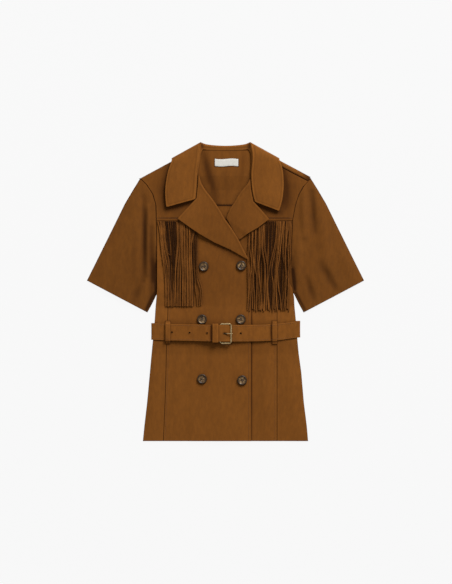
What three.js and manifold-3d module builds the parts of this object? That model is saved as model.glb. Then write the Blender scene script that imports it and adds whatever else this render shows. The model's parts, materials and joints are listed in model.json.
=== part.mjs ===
// Short-sleeved double-breasted jacket with fringed front yokes and a belt, laid on its back.
// Millimetres. +X is the wearer's left, +Y runs to the collar, +Z is up from the table.
import * as THREE from "three";
import { mergeVertices } from "three/addons/utils/BufferGeometryUtils.js";
import Module from "manifold-3d";

const wasm = await Module();
wasm.setup();

// Driving sizes of the cloth and of the layers that lie on each other
const CLOTH = 1.5;
const SLEEVE_CLOTH = 1.2;
const COLLAR_CLOTH = 1.4;
const LAPEL_CLOTH = 2.0;
const SEAM = 0.3;
const LAYER = CLOTH + SEAM;
const FRONT_TOP = LAYER + CLOTH;

// Lifts of the body: over the belt behind it, the sleeve edge and the collar's fall
const BELT_LIFT = 2.6;
const SIDE_LIFT = 3.2;
const COLLAR_LIFT = 2.8;

// Level lines of the body from the yoke seam to the hem. Left and right are the wearer's.
const YOKE_SEAM = 166;
const BACK_SEAM = 203;
const HEM = -351;
const SIDE_MARGIN = 10;
const BODY = [
  { y: YOKE_SEAM, right: -162, seamRight: -140, seamLeft: 121, left: 157, belt: 0, side: 0 },
  { y: 121, right: -161, seamRight: -138, seamLeft: 121, left: 155, belt: 0, side: 0 },
  { y: 100, right: -161, seamRight: -137.5, seamLeft: 121, left: 154.5, belt: 0, side: 0.5 },
  { y: 79, right: -161, seamRight: -137, seamLeft: 121, left: 154, belt: 0, side: 1 },
  { y: 55, right: -161, seamRight: -136, seamLeft: 121, left: 147, belt: 0, side: 1 },
  { y: 34, right: -161, seamRight: -136, seamLeft: 121, left: 144, belt: 0, side: 1 },
  { y: 8, right: -161, seamRight: -135, seamLeft: 121, left: 157, belt: 0, side: 1 },
  { y: -13, right: -162, seamRight: -135, seamLeft: 121, left: 161, belt: 0, side: 0.6 },
  { y: -34, right: -164, seamRight: -135, seamLeft: 121, left: 162, belt: 0, side: 0 },
  { y: -66, right: -166, seamRight: -136, seamLeft: 121, left: 165, belt: 1, side: 0 },
  { y: -90, right: -168, seamRight: -137, seamLeft: 121, left: 167.5, belt: 1, side: 0 },
  { y: -116, right: -170.5, seamRight: -138, seamLeft: 121, left: 169, belt: 1, side: 0 },
  { y: -146, right: -173.5, seamRight: -139, seamLeft: 121, left: 172, belt: 0, side: 0 },
  { y: -190, right: -177.5, seamRight: -140, seamLeft: 121, left: 178, belt: 0, side: 0 },
  { y: -260, right: -184, seamRight: -142, seamLeft: 121, left: 184, belt: 0, side: 0 },
  { y: -316, right: -190.5, seamRight: -144.5, seamLeft: 121, left: 191, belt: 0, side: 0 },
  { y: HEM, right: -194, seamRight: -146, seamLeft: 121, left: 194, belt: 0, side: 0 },
];

// Where each front rolls open, and below the last row its straight edge
const ROLL = [
  { y: 337, top: -67, under: 65 },
  { y: 280, top: -63, under: 61 },
  { y: 254, top: -56, under: 51 },
  { y: 238, top: -46, under: 38 },
  { y: 215, top: -28, under: 23 },
  { y: 194, top: -14, under: 10 },
  { y: 171, top: -1, under: 0 },
  { y: 149, top: 15, under: -18 },
  { y: 125, top: 30, under: -34 },
  { y: 95, top: 45, under: -54 },
  { y: 70, top: 58, under: -67 },
  { y: 55, top: 63, under: -76 },
  { y: HEM, top: 63, under: -76 },
];
const ROLL_SET_BACK = 3;
const RAMP = 18;
const RAMP_SPARE = 4;

// Armhole from the shoulder point to the armpit, the same in front and behind
const ARMHOLE = {
  right: [[-200, 266], [-184, 250], [-170, 228], [-163, BACK_SEAM], [-162, YOKE_SEAM], [-161, 121], [-161, 79]],
  left: [[200, 266], [185, 250], [172, 228], [164, BACK_SEAM], [157, YOKE_SEAM], [155, 121], [154, 79]],
};

const cloth = new THREE.MeshStandardMaterial({ color: 0x7c4a1f, roughness: 0.9, metalness: 0 });
const fringeCloth = new THREE.MeshStandardMaterial({ color: 0x744420, roughness: 0.9, metalness: 0 });
const beltCloth = new THREE.MeshStandardMaterial({ color: 0x7f4c20, roughness: 0.88, metalness: 0 });
const labelCloth = new THREE.MeshStandardMaterial({ color: 0xf2efe8, roughness: 0.75, metalness: 0 });
const horn = new THREE.MeshStandardMaterial({ color: 0x4f4232, roughness: 0.35, metalness: 0 });
const brass = new THREE.MeshStandardMaterial({ color: 0xc3ab84, roughness: 0.3, metalness: 1 });

const mix = THREE.MathUtils.lerp;
const clamp01 = (t) => THREE.MathUtils.clamp(t, 0, 1);

// Value of a named column at a height between the rows of a table that runs downward
function at(table, column, y) {
  const last = table.length - 1;
  for (let i = 0; i < last; i += 1) {
    if (y >= table[i + 1].y) {
      const t = clamp01((table[i].y - y) / (table[i].y - table[i + 1].y));
      return mix(table[i][column], table[i + 1][column], t);
    }
  }
  return table[last][column];
}

// Height of the cloth under a point of the body, above the table
function bodyLift(x, y) {
  const side = x < 0 ? at(BODY, "right", y) + SIDE_MARGIN : at(BODY, "left", y) - SIDE_MARGIN;
  const seam = x < 0 ? at(BODY, "seamRight", y) : at(BODY, "seamLeft", y);
  const reach = clamp01((x - seam) / (side - seam));
  return BELT_LIFT * at(BODY, "belt", y) + SIDE_LIFT * at(BODY, "side", y) * reach;
}

// Share of the step up that the top front makes over the under front's edge
function overlapShare(x, y) {
  const rampEnd = at(ROLL, "under", y) + ROLL_SET_BACK - RAMP_SPARE;
  return y > YOKE_SEAM ? 0 : clamp01((x - rampEnd + RAMP) / RAMP);
}

function topFrontHeight(x, y) {
  return FRONT_TOP + bodyLift(x, y) + LAYER * overlapShare(x, y);
}

// Lift of the yokes over the collar's fall behind them
const FALL_EDGE = 132;
const FALL_RAMP = { low: 222, high: 256, shoulder: 200, slope: 0.8 };

function yokeLift(x, y) {
  const arm = FALL_RAMP.shoulder - FALL_RAMP.slope * Math.max(266 - y, 0);
  const inward = clamp01((arm - Math.abs(x)) / (arm - FALL_EDGE));
  return COLLAR_LIFT * inward * clamp01((y - FALL_RAMP.low) / (FALL_RAMP.high - FALL_RAMP.low));
}

function geometryOf(points, triangles) {
  const geometry = new THREE.BufferGeometry();
  const numbers = points.flatMap((p) => p.toArray());
  geometry.setAttribute("position", new THREE.Float32BufferAttribute(numbers, 3));
  let volume = 0;
  for (const [a, b, c] of triangles) {
    volume += points[a].dot(new THREE.Vector3().crossVectors(points[b], points[c]));
  }
  const faces = volume < 0 ? triangles.map(([a, b, c]) => [a, c, b]) : triangles;
  geometry.setIndex(faces.flat());
  return geometry;
}

// Closed wall from a grid of points on its outer face. Upright walls keep the grid's outline.
function wall(grid, thickness, upright = true) {
  const rows = grid.length;
  const columns = grid[0].length;
  const outer = grid.flat();
  const index = (i, j) => i * columns + j;
  const normals = outer.map(() => new THREE.Vector3());
  const quads = [];
  for (let i = 0; i + 1 < rows; i += 1) {
    for (let j = 0; j + 1 < columns; j += 1) {
      quads.push([index(i, j), index(i, j + 1), index(i + 1, j + 1)]);
      quads.push([index(i, j), index(i + 1, j + 1), index(i + 1, j)]);
    }
  }
  for (const [a, b, c] of quads) {
    const ab = outer[b].clone().sub(outer[a]);
    const normal = ab.cross(outer[c].clone().sub(outer[a]));
    for (const k of [a, b, c]) normals[k].add(normal);
  }
  const down = normals.reduce((sum, n) => sum + n.z, 0) < 0 ? 1 : -1;
  const inner = outer.map((p, k) => {
    if (upright) return p.clone().setZ(p.z - thickness);
    return p.clone().addScaledVector(normals[k].normalize(), down * thickness);
  });
  const rim = [];
  for (let j = 0; j < columns; j += 1) rim.push(index(0, j));
  for (let i = 1; i < rows; i += 1) rim.push(index(i, columns - 1));
  for (let j = columns - 2; j >= 0; j -= 1) rim.push(index(rows - 1, j));
  for (let i = rows - 2; i > 0; i -= 1) rim.push(index(i, 0));
  const count = outer.length;
  const triangles = [...quads, ...quads.map(([a, b, c]) => [a + count, c + count, b + count])];
  rim.forEach((a, k) => {
    const b = rim[(k + 1) % rim.length];
    triangles.push([a, a + count, b + count], [a, b + count, b]);
  });
  return geometryOf([...outer, ...inner], triangles);
}

// Closed solid through rings of points, capped at both ends
function loft(rings) {
  const count = rings[0].length;
  const triangles = [];
  for (let i = 0; i + 1 < rings.length; i += 1) {
    for (let k = 0; k < count; k += 1) {
      const a = i * count + k;
      const b = i * count + ((k + 1) % count);
      triangles.push([a, b, b + count], [a, b + count, a + count]);
    }
  }
  const last = (rings.length - 1) * count;
  for (let k = 1; k + 1 < count; k += 1) {
    triangles.push([0, k + 1, k], [last, last + k, last + k + 1]);
  }
  return geometryOf(rings.flat(), triangles);
}

// Open tube of cloth between an outer and an inner stack of rings
function tube(outerRings, innerRings) {
  const count = outerRings[0].length;
  const stations = outerRings.length;
  const shift = stations * count;
  const triangles = [];
  for (let i = 0; i + 1 < stations; i += 1) {
    for (let k = 0; k < count; k += 1) {
      const a = i * count + k;
      const b = i * count + ((k + 1) % count);
      triangles.push([a, b, b + count], [a, b + count, a + count]);
      triangles.push([a + shift, b + shift + count, b + shift], [a + shift, a + shift + count, b + shift + count]);
    }
  }
  for (let k = 0; k < count; k += 1) {
    const next = (k + 1) % count;
    const end = (stations - 1) * count;
    triangles.push([k, k + shift, next + shift], [k, next + shift, next]);
    triangles.push([end + k, end + next, end + next + shift], [end + k, end + next + shift, end + k + shift]);
  }
  return geometryOf([...outerRings.flat(), ...innerRings.flat()], triangles);
}

function toSolid(geometry) {
  const bare = geometry.clone();
  bare.deleteAttribute("normal");
  bare.deleteAttribute("uv");
  const merged = mergeVertices(bare, 1e-4);
  return new wasm.Manifold(new wasm.Mesh({
    numProp: 3,
    vertProperties: new Float32Array(merged.attributes.position.array),
    triVerts: new Uint32Array(merged.index.array),
  }));
}

function fromSolid(solid) {
  const { vertProperties, triVerts } = solid.getMesh();
  const geometry = new THREE.BufferGeometry();
  geometry.setAttribute("position", new THREE.BufferAttribute(new Float32Array(vertProperties), 3));
  geometry.setIndex(Array.from(triVerts));
  return geometry;
}

function joined(geometries) {
  return fromSolid(geometries.map(toSolid).reduce((sum, solid) => sum.add(solid)));
}

function cut(geometry, tools) {
  return fromSolid(tools.reduce((rest, tool) => rest.subtract(toSolid(tool)), toSolid(geometry)));
}

const garment = new THREE.Group();

function piece(name, geometry, material) {
  geometry.computeVertexNormals();
  const mesh = new THREE.Mesh(geometry, material);
  mesh.name = name;
  garment.add(mesh);
  return mesh;
}

const vector = (x, y, z) => new THREE.Vector3(x, y, z);

// Body panels: each row of the table gives a line of points at the named columns
function bodyPanel(rows, columnsAt, height) {
  return wall(rows.map((row) => columnsAt(row).map((x) => vector(x, row.y, height(x, row)))), CLOTH);
}

const trimmedTop = (rows) => rows.map((row, i) => (i === 0 ? { ...row, y: row.y - SEAM / 2 } : row));

function addBack() {
  const above = { ...BODY[0], y: BACK_SEAM, right: -163, left: 164 };
  const rows = trimmedTop([above, ...BODY]);
  const columns = (row) => [
    row.right, row.right + SIDE_MARGIN, row.seamRight, -70, 0, 60, row.seamLeft, row.left - SIDE_MARGIN, row.left,
  ];
  piece("back_panel", bodyPanel(rows, columns, (x, row) => CLOTH + bodyLift(x, row.y)), cloth);
}

function addSideFronts() {
  const rows = trimmedTop(BODY);
  const height = (x, row) => FRONT_TOP + bodyLift(x, row.y);
  const right = (row) => [row.right, row.right + SIDE_MARGIN, row.seamRight - SEAM / 2];
  const left = (row) => [row.seamLeft + SEAM / 2, row.left - SIDE_MARGIN, row.left];
  piece("side_front_right", bodyPanel(rows, right, height), cloth);
  piece("side_front_left", bodyPanel(rows, left, height), cloth);
}

// Rows of the fronts carry the bends of the roll lines as well as those of the body
function frontRows() {
  const heights = [...BODY.map((row) => row.y), 149, 95, 70];
  return trimmedTop(heights.sort((a, b) => b - a).map((y) => ({
    y,
    seamRight: at(BODY, "seamRight", y),
    seamLeft: at(BODY, "seamLeft", y),
    topEdge: at(ROLL, "top", y) - ROLL_SET_BACK,
    underEdge: at(ROLL, "under", y) + ROLL_SET_BACK,
  })));
}

function addFronts() {
  const rows = frontRows();
  const top = (row) => {
    const rampEnd = row.underEdge - RAMP_SPARE;
    const start = row.seamRight + SEAM / 2;
    const rampStart = rampEnd - RAMP;
    const middle = mix(rampEnd, row.topEdge, 0.5);
    return [start, mix(start, rampStart, 0.5), rampStart, rampEnd, middle, row.topEdge];
  };
  const topHeight = (x, row) => topFrontHeight(x, row.y);
  const under = (row) => {
    const end = row.seamLeft - SEAM / 2;
    return [row.underEdge, mix(row.underEdge, end, 0.33), mix(row.underEdge, end, 0.67), end];
  };
  piece("front_right", bodyPanel(rows, top, topHeight), cloth);
  piece("front_left", bodyPanel(rows, under, (x, row) => FRONT_TOP + bodyLift(x, row.y)), cloth);
}

// Rows of a front yoke, from the shoulder to the yoke seam: armhole end and neck end
const YOKES = {
  right: [
    { arm: [-200, 266], neck: [-68, 337] },
    { arm: [-184, 250], neck: [-67, 305] },
    { arm: [-170, 228], neck: [-66, 274] },
    { arm: [-163, BACK_SEAM], neck: [-38, 222] },
    { arm: [-162, YOKE_SEAM + SEAM / 2], neck: [-5, YOKE_SEAM + SEAM / 2] },
  ],
  left: [
    { arm: [194, 259], neck: [66, 324] },
    { arm: [182, 246], neck: [66, 298] },
    { arm: [172, 228], neck: [63, 270] },
    { arm: [164, BACK_SEAM], neck: [36, 229] },
    { arm: [157, YOKE_SEAM + SEAM / 2], neck: [2, YOKE_SEAM + SEAM / 2] },
  ],
};
const YOKE_COLUMNS = [0, 0.15, 0.32, 0.5, 0.75, 1];

function addFrontYokes() {
  for (const [side, rows] of Object.entries(YOKES)) {
    const grid = rows.map(({ arm, neck }) => YOKE_COLUMNS.map((t) => {
      const x = mix(arm[0], neck[0], t);
      const y = mix(arm[1], neck[1], t);
      return vector(x, y, FRONT_TOP + 1.25 * yokeLift(x, y));
    }));
    piece(`front_yoke_${side}`, wall(grid, CLOTH), cloth);
  }
}

// Rows of the back yoke: height at the armhole end, beside the neck and at the middle
const BACK_YOKE = [
  { arm: 0, beside: 302, neck: 337, middle: 332, lift: 1 },
  { arm: 1, beside: 262, neck: 272, middle: 272, lift: 1 },
  { arm: 2, beside: 234, neck: 238, middle: 238, lift: 0 },
  { arm: 3, beside: BACK_SEAM, neck: BACK_SEAM, middle: BACK_SEAM, lift: 0 },
];

function addBackYoke() {
  const grid = BACK_YOKE.map((row, i) => {
    const rise = CLOTH + COLLAR_LIFT * row.lift;
    const seamGap = i === BACK_YOKE.length - 1 ? SEAM / 2 : 0;
    const right = ARMHOLE.right[row.arm];
    const left = ARMHOLE.left[row.arm];
    return [
      vector(right[0], right[1] + seamGap, CLOTH),
      vector(-132, row.beside + seamGap, rise),
      vector(-67, row.neck + seamGap, rise),
      vector(-53, row.middle + seamGap, rise),
      vector(0, row.middle + seamGap, rise),
      vector(53, row.middle + seamGap, rise),
      vector(67, row.neck + seamGap, rise),
      vector(132, row.beside + seamGap, rise),
      vector(left[0], left[1] + seamGap, CLOTH),
    ];
  });
  // The yoke turns over the left shoulder and meets the front yoke a little way down
  const shoulder = [
    { x: 198, y: 267, across: [0.68, 0.73] },
    { x: 166, y: 284, across: [0.47, 0.88] },
    { x: 132, y: 302, across: [0.47, 0.88] },
    { x: 67, y: 337, across: [0.47, 0.88] },
  ];
  const bottom = 0.1;
  const turn = (x) => {
    const lift = COLLAR_LIFT * clamp01((200 - x) / 68);
    const top = FRONT_TOP + 1.25 * lift;
    return [
      { out: -7.8, z: top },
      { out: -0.4, z: top },
      { out: 2, z: top - 0.9 },
      { out: 2.9, z: mix(lift, top, 0.5) },
      { out: 2.4, z: lift + 1 },
      { out: 0.5, z: lift + bottom },
      { out: -5, z: lift + bottom },
    ];
  };
  const strip = shoulder.map(({ x, y, across: [ax, ay] }) => (
    turn(x).map(({ out, z }) => vector(x + ax * out, y + ay * out, z))
  ));
  piece("back_yoke", joined([wall(grid, CLOTH), wall(strip, SLEEVE_CLOTH, false)]), cloth);
}

// Collar stations from the right point round the neck to the left point. Each has its neck
// seam, its roll and its outer edge, and how far the roll is pressed double.
const COLLAR = [
  { seam: [-69.7, 217, 6.8], roll: [-72, 216.5, 9.2], edge: [-139, 198, 9.6], fold: 0 },
  { seam: [-67.8, 238, 7.2], roll: [-70, 238, 10], edge: [-142, 230, 10], fold: 0 },
  { seam: [-66.6, 258, 7.6], roll: [-68.8, 258, 10.8], edge: [-140.5, 254, 10.2], fold: 0 },
  { seam: [-65.4, 279, 7.8], roll: [-67.4, 279, 11.6], edge: [-136, 280, 10.6], fold: 0 },
  { seam: [-60, 302, 7], roll: [-64.5, 303, 12.4], edge: [-129.5, 299, 10.8], fold: 0 },
  { seam: [-58, 322, 6.8], roll: [-62.5, 326, 12], edge: [-126.5, 306, 10.6], fold: 0.3 },
  { seam: [-55, 331, 6.4], roll: [-61, 343, 10], edge: [-126.5, 310, 9], fold: 0.8 },
  { seam: [-52, 334, 5.2], roll: [-58.5, 351, 5.8], edge: [-127, 313, 4.8], fold: 1.4 },
  { seam: [-48, 333.4, 4.6], roll: [-54, 349, 3], edge: [-124, 310, 0.9], fold: 1.9 },
  { seam: [-38, 332.5, 4.3], roll: [-46, 345.8, 2.15], edge: [-104, 288, 0], fold: 2.15 },
  { seam: [-20, 332.4, 4.3], roll: [-24, 343.4, 2.15], edge: [-52, 280, 0], fold: 2.15 },
  { seam: [0, 332.4, 4.3], roll: [0, 342.2, 2.15], edge: [0, 279, 0], fold: 2.15 },
  { seam: [20, 332.4, 4.3], roll: [24, 343.4, 2.15], edge: [52, 280, 0], fold: 2.15 },
  { seam: [38, 332.5, 4.3], roll: [46, 345.8, 2.15], edge: [104, 288, 0], fold: 2.15 },
  { seam: [48, 333.4, 4.6], roll: [53, 349, 3], edge: [124, 310, 0.9], fold: 1.9 },
  { seam: [52, 334, 5.2], roll: [58, 351, 5.8], edge: [127, 313, 4.8], fold: 1.4 },
  { seam: [56, 331, 6.4], roll: [62, 343, 10], edge: [127, 310, 9], fold: 0.8 },
  { seam: [60, 322, 6.8], roll: [64.5, 326, 12], edge: [128, 306, 10.6], fold: 0.3 },
  { seam: [60, 302, 7], roll: [64, 303, 12.2], edge: [132, 297, 10.8], fold: 0 },
  { seam: [58.5, 279, 7.8], roll: [60.5, 279, 11.4], edge: [136, 276, 10.4], fold: 0 },
  { seam: [59.5, 255, 7.6], roll: [61.5, 255, 10.6], edge: [137, 246, 9.8], fold: 0 },
  { seam: [62.2, 232, 7.2], roll: [64.2, 232, 9.8], edge: [134, 216, 9.4], fold: 0 },
  { seam: [67.4, 210.8, 6.8], roll: [69.6, 210.4, 9], edge: [126, 189, 9], fold: 0 },
];

function addCollar() {
  const point = (p) => vector(p[0], p[1], p[2]);
  const grid = COLLAR.map(({ seam, roll, edge, fold }) => {
    const s = point(seam);
    const r = point(roll);
    const e = point(edge);
    const before = r.clone().lerp(s, 0.16).add(vector(0, 0, 0.85 * fold));
    const after = r.clone().lerp(e, 0.03).add(vector(0, 0, -0.85 * fold));
    const crown = fold > 1 ? 0 : 0.5;
    return [
      s,
      s.clone().lerp(before, 0.5),
      before,
      r,
      after,
      after.clone().lerp(e, 0.3).add(vector(0, 0, fold > 2 ? -after.z * 0.7 : crown)),
      after.clone().lerp(e, 0.65).add(vector(0, 0, fold > 2 ? -after.z * 0.35 : crown)),
      e,
    ];
  });
  piece("collar", wall(grid, COLLAR_CLOTH, false), cloth);
}

// Lapels: roll line end, outer end and the height of each above the table
const LAPELS = {
  right: [
    { roll: [-63, 280], out: [-64.6, 279], rollZ: 9.6, outZ: 9.2 },
    { roll: [-56, 254], out: [-65.6, 246], rollZ: 9.8, outZ: 9.2 },
    { roll: [-46, 238], out: [-68.6, 218.5], rollZ: 10, outZ: 9.2 },
    { roll: [-28, 215], out: [-92, 194], rollZ: 10, outZ: 9.6 },
    { roll: [-14, 194], out: [-113, 171], rollZ: 10.2, outZ: 10 },
    { roll: [-1, 171], out: [-88, 153], rollZ: 10.4, outZ: 10.2 },
    { roll: [15, 149], out: [-60, 134], rollZ: 10.4, outZ: 10.6 },
    { roll: [30, 125], out: [-27, 115], rollZ: 10, outZ: 9.6 },
    { roll: [45, 95], out: [11, 98], rollZ: 9.2, outZ: 8.4 },
    { roll: [60, 69], out: [51, 75], rollZ: 7.8, outZ: 7.6 },
  ],
  left: [
    { roll: [56.4, 265], out: [58.4, 262], rollZ: 9.4, outZ: 9 },
    { roll: [50, 252], out: [59.8, 241], rollZ: 9.2, outZ: 8.8 },
    { roll: [34, 233], out: [65.6, 211.5], rollZ: 8.8, outZ: 8.8 },
    { roll: [26, 220], out: [85, 191], rollZ: 8.6, outZ: 9.2 },
    { roll: [19, 208], out: [103, 170], rollZ: 8.2, outZ: 9.4 },
    { roll: [10, 195], out: [77, 150], rollZ: 8, outZ: 9.4 },
    { roll: [1, 173], out: [51, 135], rollZ: 6.8, outZ: 9.2 },
    { roll: [14, 149], out: [42, 128], rollZ: 6.6, outZ: 6.8 },
    { roll: [27, 126], out: [33, 121.5], rollZ: 6.6, outZ: 6.6 },
  ],
};

function addLapels() {
  for (const [side, rows] of Object.entries(LAPELS)) {
    const grid = rows.map(({ roll, out, rollZ, outZ }, i) => {
      const hidden = side === "left" && i > 5;
      const a = vector(roll[0], roll[1], rollZ);
      const b = vector(out[0], out[1], outZ);
      const span = a.clone().sub(b).setZ(0).length();
      const inset = (distance) => Math.min(distance / span, 0.3);
      return [
        a.clone().add(vector(0, 0, hidden ? -0.6 : -2.4)),
        a.clone().lerp(b, inset(0.5)).add(vector(0, 0, hidden ? -0.2 : -0.9)),
        a.clone().lerp(b, inset(3)),
        a.clone().lerp(b, 0.4),
        a.clone().lerp(b, 0.7),
        b,
      ];
    });
    piece(`lapel_${side}`, wall(grid, LAPEL_CLOTH, false), cloth);
  }
}

// Sleeve stations from armhole to hem: outer fold, inner fold, and the lip that runs
// flat under the edge of the body
const SLEEVES = {
  right: [
    { outer: [-200, 266], inner: [-161, 79], lip: 2.4 },
    { outer: [-217, 239], inner: [-154, 57], lip: 8 },
    { outer: [-236, 207], inner: [-153.5, 36], lip: 9 },
    { outer: [-262, 154], inner: [-155, 14], lip: 7 },
    { outer: [-284, 109.5], inner: [-162, -7], lip: 4 },
    { outer: [-303, 71], inner: [-172, -28], lip: 3 },
    { outer: [-325.5, 26], inner: [-183.5, -49], lip: 3 },
  ],
  left: [
    { outer: [200, 266], inner: [154, 79], lip: 2.4 },
    { outer: [217, 239], inner: [144, 57], lip: 12 },
    { outer: [236, 207], inner: [140.5, 36], lip: 16 },
    { outer: [262, 154], inner: [149, 14], lip: 9 },
    { outer: [284, 109.5], inner: [161.5, -7], lip: 4 },
    { outer: [303, 71], inner: [172, -28], lip: 3 },
    { outer: [325.5, 26], inner: [183.5, -49], lip: 3 },
  ],
};
const SLEEVE_PUFF = 2.4;
const LIP_TOP = 2.7;
const ARMHOLE_CLEARANCE = [0.5, 0.35];

// Point and distance share along a line of points
function alongLine(points, share) {
  const lengths = points.slice(1).map((p, i) => p.distanceTo(points[i]));
  let rest = share * lengths.reduce((sum, length) => sum + length, 0);
  for (let i = 0; i < lengths.length; i += 1) {
    if (rest <= lengths[i] || i === lengths.length - 1) {
      return points[i].clone().lerp(points[i + 1], Math.min(rest / lengths[i], 1));
    }
    rest -= lengths[i];
  }
  return points[points.length - 1].clone();
}

function armholeShares(points) {
  const lengths = points.slice(1).map((p, i) => p.distanceTo(points[i]));
  const total = lengths.reduce((sum, length) => sum + length, 0);
  let run = 0;
  return lengths.map((length) => {
    run += length;
    return run / total;
  }).slice(0, -1);
}

// Below this height a sleeve's inner edge runs under the edge of the body
const LIP_START = 78;
const FOLD_SHADOW = { below: 60, at: 156.4 };

function besideBody(side, y) {
  if (y > BACK_SEAM || y < -20) return 0;
  const edge = Math.abs(at(BODY, side, Math.min(y, YOKE_SEAM)));
  const floor = side === "left" && y < FOLD_SHADOW.below ? FOLD_SHADOW.at : 0;
  return Math.max(edge, floor);
}

function addSleeve(side) {
  const sign = side === "right" ? -1 : 1;
  const armhole = ARMHOLE[side].map(([x, y]) => (
    vector(x + sign * ARMHOLE_CLEARANCE[0], y - ARMHOLE_CLEARANCE[1], 0)
  ));
  const inner = [];
  const outer = [];
  SLEEVES[side].forEach((station, i) => {
    const along = i / (SLEEVES[side].length - 1);
    const a = i === 0 ? armhole[0] : vector(...station.outer, 0);
    const b = i === 0 ? armhole[armhole.length - 1] : vector(...station.inner, 0);
    const bend = (1 - along) ** 1.6;
    const width = a.distanceTo(b);
    const drop = 1 - station.lip / width;
    const place = (share, away = 0) => {
      const arc = alongLine(armhole, share);
      const chord = armhole[0].clone().lerp(armhole[armhole.length - 1], share);
      const spot = a.clone().lerp(b, share).add(arc.sub(chord).multiplyScalar(bend));
      const clear = besideBody(side, spot.y) + ARMHOLE_CLEARANCE[0] + away;
      const hidden = spot.y < LIP_START && share > drop + 1e-6;
      if (!hidden && sign * spot.x < clear) spot.x = sign * clear;
      return spot;
    };
    const shy = i === 0 ? 0.5 : 2;
    const puff = SLEEVE_PUFF * Math.min(along / 0.4, 1);
    const rise = (share) => FRONT_TOP + puff * Math.sin(Math.PI * share) ** 0.7;
    const columns = [
      { share: 2.5 / width, z: rise(0) - 0.5, away: 0 },
      ...armholeShares(armhole).map((share) => ({ share: share * drop * 0.98, z: rise(share), away: shy })),
      { share: drop - 3 / width, z: rise(drop), away: shy },
      { share: drop, z: LIP_TOP, away: 0 },
      { share: 1 - 2 / width, z: LIP_TOP, away: 0 },
    ];
    const ring = (inset, thickness) => {
      const shrink = (share) => mix(inset / width, 1 - inset / width, share);
      const top = columns.map(({ share, z, away }) => place(shrink(share), away).setZ(z - thickness));
      const base = columns.map(({ share, away }) => place(shrink(share), away).setZ(thickness)).reverse();
      const edge = (share, z) => place(shrink(share)).setZ(z);
      return [edge(0, FRONT_TOP / 2), ...top, edge(1, LIP_TOP / 2), ...base];
    };
    outer.push(ring(0, 0));
    inner.push(ring(SLEEVE_CLOTH + SEAM, SLEEVE_CLOTH));
  });
  piece(`sleeve_${side}`, tube(outer, inner), cloth);
}

// Fringes: a narrow strip below the yoke seam, and strands hanging from it in two layers
const STRAND = { width: 3.3, thickness: 1.3, layerStep: 1.6, clear: 0.55 };
const STRIP = { top: YOKE_SEAM - SEAM, depth: 4.2, thickness: 3.1 };
const STRAND_HEIGHTS = [145, 121, 100, 79, 55, 34, 8, -13];
const FRINGES = {
  right: {
    groups: [
      { count: 22, rootFrom: -158, rootTo: -79, endFrom: -141, endTo: -80, foot: -34 },
      { count: 3, rootFrom: -74.5, rootTo: -67.5, endFrom: -70, endTo: -62, foot: -32 },
    ],
    bow: -2,
    ground: topFrontHeight,
  },
  left: {
    groups: [{ count: 25, rootFrom: 62, rootTo: 152.5, endFrom: 65, endTo: 145, foot: -42 }],
    bow: 1.2,
    ground: (x, y) => FRONT_TOP + bodyLift(x, y),
  },
};

const sway = (k, rate) => Math.sin(k * rate + rate);

function strand(spec, group, k, order) {
  const share = group.count > 1 ? k / (group.count - 1) : 0;
  const root = mix(group.rootFrom, group.rootTo, share);
  const end = mix(group.endFrom, group.endTo, share) + 0.7 * sway(order, 2.4);
  const foot = group.foot + 3 * sway(order, 1.7);
  const top = STRIP.top - 1;
  const base = STRAND.clear + (order % 2) * STRAND.layerStep;
  const half = STRAND.width / 2;
  const rings = [top, ...STRAND_HEIGHTS, foot].map((y) => {
    const t = (top - y) / (top - foot);
    const x = mix(root, end, t) + spec.bow * Math.sin(Math.PI * t) + 0.6 * Math.sin(5 * t + order);
    const ground = Math.max(spec.ground(x - half, y), spec.ground(x + half, y));
    const z = ground + base;
    return [
      vector(x - half, y, z),
      vector(x + half, y, z),
      vector(x + half, y, z + STRAND.thickness),
      vector(x - half, y, z + STRAND.thickness),
    ];
  });
  return loft(rings);
}

function addFringes() {
  for (const [side, spec] of Object.entries(FRINGES)) {
    const first = spec.groups[0].rootFrom - STRAND.width;
    const last = spec.groups[spec.groups.length - 1].rootTo + STRAND.width;
    const strip = new THREE.BoxGeometry(last - first, STRIP.depth, STRIP.thickness);
    strip.translate((first + last) / 2, STRIP.top - STRIP.depth / 2, FRONT_TOP + SEAM + STRIP.thickness / 2);
    const strands = [];
    for (const group of spec.groups) {
      for (let k = 0; k < group.count; k += 1) strands.push(strand(spec, group, k, strands.length));
    }
    piece(`fringe_${side}`, joined([strip, ...strands]), fringeCloth);
  }
}

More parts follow.
